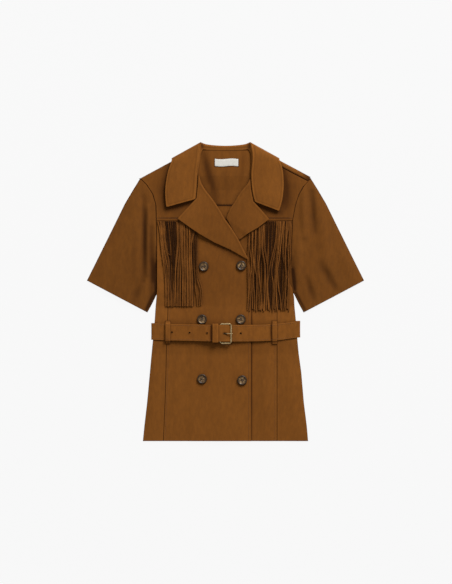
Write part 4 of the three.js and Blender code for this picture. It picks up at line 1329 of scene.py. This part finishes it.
# Where the strands part, painted shade on the strands behind them: the ends of each parting and its half
# width
FRINGE_PARTINGS = {
    "right": [((-128, 204), (-126, 36), 13.5), ((-126, 84), (-127, -14), 4.5), ((-70, 150), (-72, 20), 7.0)],
    "left": [
        ((108, 204), (100, 44), 13.0), ((132, 84), (130, -40), 6.5), ((83, 96), (86, -24), 5.5),
        ((105, 46), (107, -44), 5.0), ((69, 60), (70, -30), 3.5),
    ],
}
# Height in mm of the seam that the strands hang from, steps along a strand, and a loose strand's darkness
FRINGE_TOP = 165.2
FRINGE_STEPS = 34
LOOSE_TONE = 0.25


def strand_x(t, root, end, bow, ripple, phase):
    """Sideways place of a strand at share t of its length, before it is pushed aside."""
    x = root + (end - root) * (1 - (1 - t) ** 2.6) + bow * math.sin(math.pi * t)
    return x + ripple * math.sin(7.0 * t + phase) * min(1.0, 2 * t)


def eased(share):
    """Soft step from 0 to 1."""
    share = min(max(share, 0.0), 1.0)
    return share * share * (3 - 2 * share)


def loose_x(route, y):
    """Sideways place, at a height, of a strand that hangs along its own route."""
    for upper, lower in zip(route[:-1], route[1:]):
        if y >= lower[1]:
            return upper[0] + (lower[0] - upper[0]) * eased((upper[1] - y) / (upper[1] - lower[1]))
    return route[-1][0]


def parted(x, y, partings, sides):
    """Pushes a strand to its side of each parting that it would cross."""
    for (upper, lower, width), side in zip(partings, sides):
        along = (upper[1] - y) / (upper[1] - lower[1])
        if 0.0 < along < 1.0:
            middle = upper[0] + (lower[0] - upper[0]) * along
            away = max((x - middle) * side, 0.0)
            if away < 2 * width:
                open_by = eased(along / 0.3) * eased((1.0 - along) / 0.55)
                x = middle + side * (width * open_by + away * (1 - open_by / 2))
    return x


def laid_strand(place, last, layer, phase, ground):
    """Points of a strand that hangs to a height and lies on the cloth under it."""
    line = []
    for i in range(FRINGE_STEPS + 1):
        t = i / FRINGE_STEPS
        y = FRINGE_TOP + (last - FRINGE_TOP) * t
        x = place(t, y)
        base = max(height_over(ground, (x + aside) * MM, y * MM, 3.3 * MM) for aside in (0.0, 2.5))
        settle = 1.0 - 0.55 * t ** 4
        z = base / MM + 0.9 + 1.6 * layer * min(1.0, 0.35 + t * 3) * settle
        z += 0.5 * (1 + math.sin(6.0 * t + 2 * phase)) * min(t * 4, 1.0) * settle
        line.append((x * MM, y * MM, z * MM))
    return line


class JACKET_OT_fringe(JacketPiece, bpy.types.Operator):
    """Fringe of cut strands that hang from the front yoke seams in two or three layers"""

    bl_idname = "jacket.fringe"
    bl_label = "Fringe"

    def execute(self, context):
        tree = ribbon_tree(self.trim.strand_width, self.trim.strand_thickness, self.stage.threads_seed)
        ground = [name + "_cloth" for name in BODY_PANELS if name != "back_panel"]
        rng = np.random.default_rng(self.stage.threads_seed)
        for side, rows in FRINGE_ROWS.items():
            partings = FRINGE_PARTINGS[side]
            lines, tone_and_shade = [], []
            for roots, ends, foot, count, layer, dark, sway in rows:
                for k in range(count):
                    share = k / max(count - 1, 1)
                    root = roots[0] + (roots[1] - roots[0]) * share + rng.uniform(-1.0, 1.0)
                    end = ends[0] + (ends[1] - ends[0]) * share + rng.uniform(-1.0, 1.0) * sway * 0.6
                    bow = rng.uniform(-1.0, 1.0) * sway
                    phase = rng.uniform(0, 2 * math.pi)
                    ripple = rng.uniform(0.2, 0.45) * sway
                    last = foot + rng.uniform(-2.0, 1.0) * max(sway - 1.2, 0.2)
                    # Painted shade for the row's layer, and a random difference of tone
                    tone_and_shade.append(dark + rng.uniform(0.0, 0.35))
                    sway_of = (root, end, bow, ripple, phase)
                    sides = []
                    for upper, lower, _ in partings:
                        t = (FRINGE_TOP - (upper[1] + lower[1]) / 2) / (FRINGE_TOP - last)
                        sides.append(1 if strand_x(t, *sway_of) > (upper[0] + lower[0]) / 2 else -1)

                    def hangs(t, y, sway_of=sway_of, sides=sides, layer=layer, partings=partings):
                        x = strand_x(t, *sway_of)
                        return parted(x, y, partings, sides) if layer else x

                    lines.append(laid_strand(hangs, last, layer, phase, ground))
            for route in FRINGE_LOOSE[side]:
                def follows(t, y, route=route):
                    return loose_x(route, y)

                tone_and_shade.append(LOOSE_TONE)
                lines.append(laid_strand(follows, route[-1][1], 1, 2.0, ground))
            draft = lines_object("fringe_lines_" + side, lines)
            mesh = run_tree(draft, tree, Material=bpy.data.materials["fringe cloth"])
            numbers = np.zeros(len(mesh.vertices), dtype=np.float32)
            mesh.attributes["line"].data.foreach_get("value", numbers)
            tone_and_shade = np.array(tone_and_shade)[np.clip(np.rint(numbers).astype(int), 0, len(tone_and_shade) - 1)]
            points = np.array([v.co[:2] for v in mesh.vertices]) / MM
            # Painted shade along each parting, deeper on strands already dark
            for parting in partings:
                tone_and_shade = tone_and_shade + ridge(points, *parting, 1.3) * (0.2 + tone_and_shade)
            add_attribute(mesh, "shade", np.clip(tone_and_shade, 0.0, 0.95))
            add_attribute(mesh, "edge_mm", np.full(len(tone_and_shade), FAR_FROM_EDGE))
            stand_in("fringe_" + side, mesh, "fringe cloth", ending="_strands")
        return {"FINISHED"}


# Belt, loops, keeper and eyelets


# Places of the eyelets in mm, their rims' lift, and the radius and depth of the dark well in each, a
# disc of painted shadow
EYELETS = [(-125.6, -95), (-84, -96.2), (-43, -97), (36, -97.6)]
EYELET_LIFT = 0.16
WELL_RADIUS = 2.2
WELL_DEPTH = 0.3
# Painted shade beside the keeper, beside the left loop, and round the hole that the prong goes through
BELT_SHADES = [
    ((-33, -76), (-33, -120), 2.8, 1.5),
    ((107.4, -72), (107.4, -114), 2.4, 1.2),
    ((-4, -98), (0, -98), 3.0, 1.5),
]
# Each strip's name, material, smoothing levels and edge rounding in mm
STRIPS = (
    ("belt", "belt cloth", 2, 0.4),
    ("belt_keeper", "belt cloth", 1, 0.25),
    ("belt_loop_right", "napped cloth", 2, 0.25),
    ("belt_loop_left", "napped cloth", 2, 0.25),
)


def ring_tree(radius, wire):
    """Eyelet rims: a turned ring on each point."""
    tree, inside_, outside = geometry_tree("Eyelets", [
        ("Radius", "NodeSocketFloat", radius),
        ("Wire", "NodeSocketFloat", wire),
    ])
    given = inside_.outputs
    middle = maths(tree, "SUBTRACT", given["Radius"], given["Wire"])
    circle = node(tree, "GeometryNodeCurvePrimitiveCircle", {"Resolution": 28, "Radius": middle})
    section = node(tree, "GeometryNodeCurvePrimitiveCircle", {"Resolution": 8, "Radius": given["Wire"]})
    bend = {"Curve": circle.outputs[0], "Profile Curve": section.outputs[0]}
    hoop = node(tree, "GeometryNodeCurveToMesh", bend)
    smooth = node(tree, "GeometryNodeSetShadeSmooth", {0: hoop.outputs[0]})
    points = node(tree, "GeometryNodeMeshToPoints", {"Mesh": given["Geometry"]})
    spread = {"Points": points.outputs[0], "Instance": smooth.outputs[0]}
    placed = node(tree, "GeometryNodeInstanceOnPoints", spread)
    return hand_out(tree, placed.outputs[0], given, outside)


class JACKET_OT_belt(JacketPiece, bpy.types.Operator):
    """Belt with its eyelets, keeper and loops"""

    bl_idname = "jacket.belt"
    bl_label = "Belt"

    def execute(self, context):
        for name, material, level, bevel in STRIPS:
            mesh = smooth_copy(name, level, corner=55, bevel=bevel)
            if name == "belt":
                mesh = refined(mesh, self.step / 2)
            shade_of(mesh, BELT_SHADES if name == "belt" else [])
            stand_in(name, mesh, material)
        spots = []
        for x, y in EYELETS:
            z = height_over(["belt_cloth"], x * MM, y * MM) + EYELET_LIFT * MM
            spots.append((x * MM, y * MM, z))
        mesh = bpy.data.meshes.new("eyelet_spots")
        mesh.from_pydata(spots, [], [])
        tree = ring_tree(self.trim.eyelet_radius, self.trim.eyelet_wire)
        rims = run_tree(draft_of("eyelet_spots", mesh), tree, Material=bpy.data.materials["belt cloth"])
        # The whole rim in the paler band beside an edge: partly rubbing, partly painted highlight
        add_attribute(rims, "edge_mm", np.full(len(rims.vertices), 2.4))
        add_attribute(rims, "shade", np.zeros(len(rims.vertices)))
        piece = new_piece("belt_eyelets", rims, "belt cloth")
        wells = bmesh.new()
        for x, y, z in spots:
            bmesh.ops.create_cone(
                wells, cap_ends=True, segments=24, radius1=WELL_RADIUS * MM, radius2=WELL_RADIUS * MM,
                depth=WELL_DEPTH * MM, matrix=Matrix.Translation((x, y, z - 0.02 * MM)),
            )
        mesh = plain_mesh("belt_eyelet_wells", wells)
        piece = new_piece("belt_eyelet_wells", mesh, "hole shadow", smooth=False)
        return {"FINISHED"}


class JACKET_OT_buckle(JacketPiece, bpy.types.Operator):
    """Buckle frame and prong in pale brass"""

    bl_idname = "jacket.buckle"
    bl_label = "Buckle"

    def execute(self, context):
        for name, rounding, level in (("buckle_frame", 0.75, 0), ("buckle_prong", 0.2, 2)):
            metal = merged_copy(name)
            if name == "buckle_frame":
                bmesh.ops.dissolve_limit(metal, angle_limit=0.02, verts=metal.verts, edges=metal.edges)
            draft = draft_of(name + "_draft", plain_mesh(name + "_metal", metal))
            round_edges(draft, rounding, 3, 40)
            if level:
                soft = draft.modifiers.new("Smooth", "SUBSURF")
                soft.levels = soft.render_levels = level
            mesh = evaluated_mesh(draft)
            bpy.data.objects.remove(draft)
            mesh.name = name + "_metal"
            stand_in(name, mesh, "pale brass", ending="_metal")
        return {"FINISHED"}


# Buttons: profile as shares of the radius, and heights in mm above the button's underside
BUTTON_PROFILE = [
    (0.0, 0.0), (0.84, 0.0), (0.93, 0.25), (1.0, 1.1), (1.0, 2.0), (0.985, 2.7), (0.94, 3.3), (0.88, 3.6),
    (0.81, 3.62), (0.76, 3.42), (0.71, 2.95), (0.65, 2.6), (0.55, 2.42), (0.3, 2.34), (0.0, 2.32),
]
BUTTON_SEGMENTS = 48
# Radius of a thread hole and its distance from the button's middle, in mm
HOLE_RADIUS = 1.0
HOLE_REACH = 2.6
# The thread: its thickness, how far its two turns lie to each side, its lowest top, and its steps
THREAD_WIDTH = 0.5
THREAD_SHIFT = 0.25
THREAD_TOP = 2.62
THREAD_STEPS = 8


def hole_places(spin):
    """The four thread holes round the button's middle, in metres."""
    angles = [spin + math.pi / 4 + k * math.pi / 2 for k in range(4)]
    return [(HOLE_REACH * MM * math.cos(angle), HOLE_REACH * MM * math.sin(angle)) for angle in angles]


def button_mesh(name, radius, spin):
    """A dished four-hole button round the origin, holes cut through."""
    turned = bmesh.new()
    rings = []
    for share, height in BUTTON_PROFILE:
        if share == 0.0:
            rings.append([turned.verts.new((0, 0, height * MM))])
            continue
        rings.append([
            turned.verts.new((
                share * radius * math.cos(2 * math.pi * k / BUTTON_SEGMENTS),
                share * radius * math.sin(2 * math.pi * k / BUTTON_SEGMENTS),
                height * MM,
            )) for k in range(BUTTON_SEGMENTS)
        ])
    for low, high in zip(rings[:-1], rings[1:]):
        for k in range(BUTTON_SEGMENTS):
            n = (k + 1) % BUTTON_SEGMENTS
            if len(low) == 1:
                turned.faces.new((low[0], high[n], high[k]))
            elif len(high) == 1:
                turned.faces.new((low[k], low[n], high[0]))
            else:
                turned.faces.new((low[k], low[n], high[n], high[k]))
    bmesh.ops.recalc_face_normals(turned, faces=turned.faces)
    body = draft_of(name + "_draft", plain_mesh(name, turned))
    drills = bmesh.new()
    for x, y in hole_places(spin):
        bmesh.ops.create_cone(
            drills, cap_ends=True, segments=16, radius1=HOLE_RADIUS * MM, radius2=HOLE_RADIUS * MM,
            depth=12 * MM, matrix=Matrix.Translation((x, y, 0)),
        )
    drill = draft_of("button_drills", plain_mesh("button_drills", drills))
    holes = body.modifiers.new("Holes", "BOOLEAN")
    holes.operation = "DIFFERENCE"
    holes.object = drill
    holes.solver = "EXACT"
    mesh = evaluated_mesh(body)
    bpy.data.objects.remove(body)
    bpy.data.objects.remove(drill)
    return mesh


class JACKET_OT_buttons(JacketPiece, bpy.types.Operator):
    """Six marbled buttons, each sewn on with crossed thread"""

    bl_idname = "jacket.buttons"
    bl_label = "Buttons"

    def execute(self, context):
        names = [f"button_{row}_{side}" for row in ("top", "middle", "low") for side in ("right", "left")]
        for number, name in enumerate(names):
            low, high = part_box(name)
            middle = (low + high) / 2
            radius = (high.x - low.x) / 2
            spin = 0.5 * number
            base = max(low.z, height_over(["front_right_cloth"], middle.x, middle.y) + 0.2 * MM)
            mesh = button_mesh(name, radius, spin)
            add_attribute(mesh, "radius_mm", [math.hypot(v.co.x, v.co.y) / MM for v in mesh.vertices])
            mesh.transform(Matrix.Translation((middle.x, middle.y, base)))
            stand_in(name, mesh, "marbled horn", ending="_horn")
            soft = [abs(p.normal.z) > 0.02 or p.area > 1e-7 for p in mesh.polygons]
            mesh.polygons.foreach_set("use_smooth", soft)
            corners = [(middle.x + x, middle.y + y) for x, y in hole_places(spin)]
            lines = []
            for a, b in ((0, 2), (1, 3)):
                for shift in (-THREAD_SHIFT, THREAD_SHIFT):
                    line = []
                    for i in range(THREAD_STEPS + 1):
                        t = i / THREAD_STEPS
                        x = corners[a][0] + (corners[b][0] - corners[a][0]) * t
                        y = corners[a][1] + (corners[b][1] - corners[a][1]) * t
                        arch = (0.25 + 0.1 * a) * math.sin(math.pi * t)
                        rise = THREAD_TOP + arch - 1.4 * abs(2 * t - 1) ** 8
                        line.append((x + shift * MM, y - shift * MM, base + rise * MM))
                    lines.append(line)
            draft = lines_object(name + "_thread_lines", lines)
            mesh = run_tree(
                draft, bpy.data.node_groups["Fringe ribbons"], Strand_width=THREAD_WIDTH * MM,
                Strand_thickness=THREAD_WIDTH * MM, Twist=0.0, Material=bpy.data.materials["button thread"],
            )
            piece = new_piece(name + "_thread", mesh, "button thread")
        return {"FINISHED"}


class JACKET_OT_label(JacketPiece, bpy.types.Operator):
    """Bare woven label inside the neck"""

    bl_idname = "jacket.label"
    bl_label = "Neck label"

    def execute(self, context):
        mesh = smooth_copy("neck_label", 2, corner=60, bevel=0.15)
        shade_of(mesh, [])
        stand_in("neck_label", mesh, "label tape", ending="_tape")
        return {"FINISHED"}


# Stitching


def stitch_tree(length, pitch, width):
    """Rows of stitches: a small rounded thread on every pitch of a line."""
    tree, inside_, outside = geometry_tree("Stitch rows", [
        ("Length", "NodeSocketFloat", length),
        ("Pitch", "NodeSocketFloat", pitch),
        ("Width", "NodeSocketFloat", width),
    ])
    given = inside_.outputs
    lines = node(tree, "GeometryNodeMeshToCurve", {"Mesh": given["Geometry"]})
    every = {"Curve": lines.outputs[0], "Length": given["Pitch"]}
    spaced = node(tree, "GeometryNodeResampleCurve", every, mode="LENGTH")
    tangent = node(tree, "GeometryNodeInputTangent")
    turn = node(tree, "FunctionNodeAlignRotationToVector", {"Vector": tangent.outputs[0]}, axis="X")
    thread = node(tree, "GeometryNodeMeshUVSphere", {"Segments": 6, "Rings": 4, "Radius": 0.5})
    sides = {0: given["Length"], 1: given["Width"], 2: given["Width"]}
    size = node(tree, "ShaderNodeCombineXYZ", sides)
    placed = node(tree, "GeometryNodeInstanceOnPoints", {
        "Points": spaced.outputs[0],
        "Instance": thread.outputs[0],
        "Rotation": turn.outputs[0],
        "Scale": size.outputs[0],
    })
    real = node(tree, "GeometryNodeRealizeInstances", {0: placed.outputs[0]})
    smooth = node(tree, "GeometryNodeSetShadeSmooth", {0: real.outputs[0]})
    return hand_out(tree, smooth.outputs[0], given, outside)


# Stitched lines in mm, and the pieces that they are sewn through
STITCHED = {
    "front_edge_stitches": (["front_right_cloth"], [[(54.5, 48), (54.5, -348)]]),
    "princess_stitches_right": (["front_right_cloth"], [
        [(-133, 120), (-131, 8), (-130, -34), (-131.5, -68)],
        [(-134, -124), (-136, -190), (-138, -260), (-142, -348)],
    ]),
    "princess_stitches_left": (["front_left_cloth"], [[(116, 150), (116, -68)], [(116, -122), (116, -348)]]),
    "yoke_stitches_right": (["front_yoke_right_cloth"], [[(-161, YOKE_LINE), (-66, YOKE_LINE)]]),
    "yoke_stitches_left": (["front_yoke_left_cloth"], [[(60, YOKE_LINE), (156, YOKE_LINE)]]),
}
# The belt's middle line to each side of the buckle, how far its two rows are from it, and what they cross
BELT_MIDDLE = [
    [(-166, -93.5), (-110, -95.5), (-58, -96.8), (-32, -97.2)],
    [(18, -97.4), (66, -97.2), (110, -95.8), (140, -92.4), (166, -89)],
]
BELT_ROW = 16.6
BELT_CARRIERS = ["belt_cloth", "belt_loop_right_cloth", "belt_loop_left_cloth"]


class JACKET_OT_stitching(JacketPiece, bpy.types.Operator):
    """Topstitching on the front edge, princess seams, yokes and belt"""

    bl_idname = "jacket.stitching"
    bl_label = "Stitching"

    def execute(self, context):
        tree = stitch_tree(self.trim.stitch_length, self.trim.stitch_pitch, self.trim.stitch_width)
        rows = dict(STITCHED)
        for edge, shift in (("upper", BELT_ROW), ("lower", -BELT_ROW)):
            lines = [[(x, y + shift) for x, y in part] for part in BELT_MIDDLE]
            rows[f"belt_stitches_{edge}"] = (BELT_CARRIERS, lines)
        for name, (carriers, lines) in rows.items():
            laid = []
            for line in lines:
                run = []
                for x, y in evenly(np.array(line, dtype=float), 3.0, closed=False):
                    z = height_over(carriers, x * MM, y * MM) + 0.05 * MM
                    if z > 1.0 * MM:
                        run.append((x * MM, y * MM, z))
                laid.append(run)
            draft = lines_object(name + "_lines", laid)
            mesh = run_tree(draft, tree, Material=bpy.data.materials["sewing thread"])
            piece = new_piece(name, mesh, "sewing thread")
        return {"FINISHED"}


# Looks for the painted shade from a point of the cloth: elevation in degrees and how many round
SKY_LOOKS = ((14, 8), (34, 6), (60, 3))
# How far off the cloth a look starts, along its normal and upwards, in mm
LOOK_CLEAR = 0.35
LOOK_LIFT = 0.1


def sky_directions():
    made = []
    for elevation, count in SKY_LOOKS:
        rise = math.radians(elevation)
        for k in range(count):
            turn = 2 * math.pi * (k + 0.5 * (elevation > 20)) / count
            flat = math.cos(rise)
            made.append(Vector((flat * math.cos(turn), flat * math.sin(turn), math.sin(rise))))
    return made


class JACKET_OT_painted_shade(JacketPiece, bpy.types.Operator):
    """Painted shade: nap under or beside a higher layer is darkened by how much the layers above close it off
    """

    bl_idname = "jacket.wear"
    bl_label = "Tucked nap"

    def execute(self, context):
        shaded_pieces = [name for name in FINISHED if "shade" in bpy.data.objects[name].data.attributes]
        points, faces = [], []
        for name in FINISHED:
            mesh = bpy.data.objects[name].data
            start = len(points)
            points.extend(v.co.copy() for v in mesh.vertices)
            faces.extend(tuple(k + start for k in p.vertices) for p in mesh.polygons)
        tree = BVHTree.FromPolygons(points, faces)
        looks = sky_directions()
        for name in shaded_pieces:
            mesh = bpy.data.objects[name].data
            shade = np.zeros(len(mesh.vertices), dtype=np.float32)
            mesh.attributes["shade"].data.foreach_get("value", shade)
            for vert, normal in zip(mesh.vertices, mesh.vertex_normals):
                if normal.vector.z < 0.05:
                    continue
                start = vert.co + normal.vector * (LOOK_CLEAR * MM) - LOOK_LIFT * MM * DOWN
                closed = 0.0
                for look in looks:
                    distance = tree.ray_cast(start, look, self.cloth.painted_shade_reach)[3]
                    if distance is not None:
                        closed += 1.0 - 0.6 * distance / self.cloth.painted_shade_reach
                shade[vert.index] += self.cloth.painted_shade_depth * closed / len(looks)
            mesh.attributes["shade"].data.foreach_set("value", np.clip(shade, 0.0, 0.95))
        return {"FINISHED"}


# Stage


# How far the floor goes to each side, the camera's sensor in mm, the middle of its view, and the lamps'
# sizes and places
FLOOR_REACH = 20.0
SENSOR = 36.0
VIEW_MIDDLE = (1.2 * MM, -0.9 * MM)
LAMPS = {"softbox": (2.2, (2.3, 4.5, 2.85)), "fill": (1.6, (-0.5, 0.3, 2.2))}


class JACKET_OT_stage(JacketPiece, bpy.types.Operator):
    """Pale floor, soft studio light and the camera straight above"""

    bl_idname = "jacket.stage"
    bl_label = "Stage"

    def execute(self, context):
        scene = bpy.context.scene
        floor_mesh = bpy.data.meshes.new("floor")
        corners = [(x * FLOOR_REACH, y * FLOOR_REACH, 0) for x, y in ((-1, -1), (1, -1), (1, 1), (-1, 1))]
        floor_mesh.from_pydata(corners, [], [(0, 1, 2, 3)])
        floor = bpy.data.objects.new("floor", floor_mesh)
        scene.collection.objects.link(floor)
        paper, _, shader = new_material("pale paper")
        shader.inputs["Base Color"].default_value = (0.02, 0.02, 0.02, 1.0)
        shader.inputs["Roughness"].default_value = 0.9
        shader.inputs["Specular IOR Level"].default_value = 0.0
        shader.inputs["Emission Color"].default_value = (1.0, 1.0, 1.0, 1.0)
        shader.inputs["Emission Strength"].default_value = 0.915
        floor_mesh.materials.append(paper)

        eye = bpy.data.cameras.new("eye")
        eye.sensor_fit = "HORIZONTAL"
        eye.sensor_width = SENSOR
        eye.lens = SENSOR * self.stage.eye_height / self.stage.view_width
        eye.clip_end = 50.0
        camera = bpy.data.objects.new("eye", eye)
        camera.location = (*VIEW_MIDDLE, self.stage.eye_height)
        scene.collection.objects.link(camera)
        scene.camera = camera

        for name, (size, place) in LAMPS.items():
            lamp = bpy.data.lights.new(name, "AREA")
            lamp.energy = self.stage.key_power if name == "softbox" else self.stage.fill_power
            lamp.size = size
            light = bpy.data.objects.new(name, lamp)
            light.location = place
            light.rotation_euler = (-Vector(place)).to_track_quat("-Z", "Y").to_euler()
            scene.collection.objects.link(light)

        world = bpy.data.worlds.new("room")
        world.use_nodes = True
        backdrop = world.node_tree.nodes["Background"]
        backdrop.inputs[0].default_value = (1.0, 1.0, 1.0, 1.0)
        backdrop.inputs[1].default_value = self.stage.sky
        scene.world = world
        scene.view_settings.view_transform = "Standard"
        return {"FINISHED"}


# Cloth cut in one layer that lies as it was cut: what it lies on, and what is sewn on it. Its size and
# its area are those of its outline in the frame
LAID = {
    "back_panel": (["floor"], []),
    "back_yoke": (["floor"], ["back_yoke_seam_shadow"]),
    "side_front_right": (["back_panel"], []),
    "side_front_left": (["back_panel"], []),
    "front_left": (["back_panel"], ["princess_stitches_left"]),
    "front_right": (["front_left"], ["front_edge_stitches", "princess_stitches_right"]),
    "front_yoke_right": (["back_yoke"], ["yoke_stitches_right"]),
    "front_yoke_left": (["back_yoke"], ["yoke_stitches_left"]),
    "lapel_left": (["front_left"], []),
}

# Tubes laid flat: each is twice its outline wide
TUBES = {
    "sleeve_right": (["floor"], ["armhole_seam_right"]),
    "sleeve_left": (["floor"], ["armhole_seam_left"]),
}


def declare_outline(name):
    """Traces the outline of a cloth's part, which is then let go."""
    part = merged_copy(name)
    loop = tidied(outline_of(part, 0.12))
    part.free()


def declare_cloth():
    for name, (under, sewn) in LAID.items():
        declare_outline(name)
    for name, (under, sewn) in TUBES.items():
        declare_outline(name)


class JACKET_PT_panel(bpy.types.Panel):
    """Steps that make the jacket, in order"""

    bl_label = "Jacket"
    bl_idname = "JACKET_PT_panel"
    bl_space_type = "VIEW_3D"
    bl_region_type = "UI"
    bl_category = "Jacket"

    def draw(self, context):
        for settings in (context.scene.jacket_cloth, context.scene.jacket_trim, context.scene.jacket_stage):
            for name in settings.bl_rna.properties.keys():
                if name not in ("rna_type", "name"):
                    self.layout.prop(settings, name)
        for step in STEPS:
            self.layout.operator(step.bl_idname)


STEPS = (
    JACKET_OT_body,
    JACKET_OT_yokes,
    JACKET_OT_collar,
    JACKET_OT_sleeves,
    JACKET_OT_seams,
    JACKET_OT_fringe,
    JACKET_OT_belt,
    JACKET_OT_buckle,
    JACKET_OT_buttons,
    JACKET_OT_label,
    JACKET_OT_stitching,
    JACKET_OT_painted_shade,
    JACKET_OT_stage,
)
CLASSES = (JacketCloth, JacketTrim, JacketStage, *STEPS, JACKET_PT_panel)


def register():
    for cls in CLASSES:
        bpy.utils.register_class(cls)
    bpy.types.Scene.jacket_cloth = PointerProperty(type=JacketCloth)
    bpy.types.Scene.jacket_trim = PointerProperty(type=JacketTrim)
    bpy.types.Scene.jacket_stage = PointerProperty(type=JacketStage)


def unregister():
    del bpy.types.Scene.jacket_stage
    del bpy.types.Scene.jacket_trim
    del bpy.types.Scene.jacket_cloth
    for cls in reversed(CLASSES):
        bpy.utils.unregister_class(cls)


def main():
    register()
    build_materials(bpy.context.scene.jacket_cloth)
    bpy.ops.jacket.body()
    bpy.ops.jacket.yokes()
    bpy.ops.jacket.collar()
    bpy.ops.jacket.sleeves()
    bpy.ops.jacket.seams()
    bpy.ops.jacket.fringe()
    bpy.ops.jacket.belt()
    bpy.ops.jacket.buckle()
    bpy.ops.jacket.buttons()
    bpy.ops.jacket.label()
    bpy.ops.jacket.stitching()
    bpy.ops.jacket.wear()
    bpy.ops.jacket.stage()
    declare_cloth()


if __name__ == "__main__":
    main()
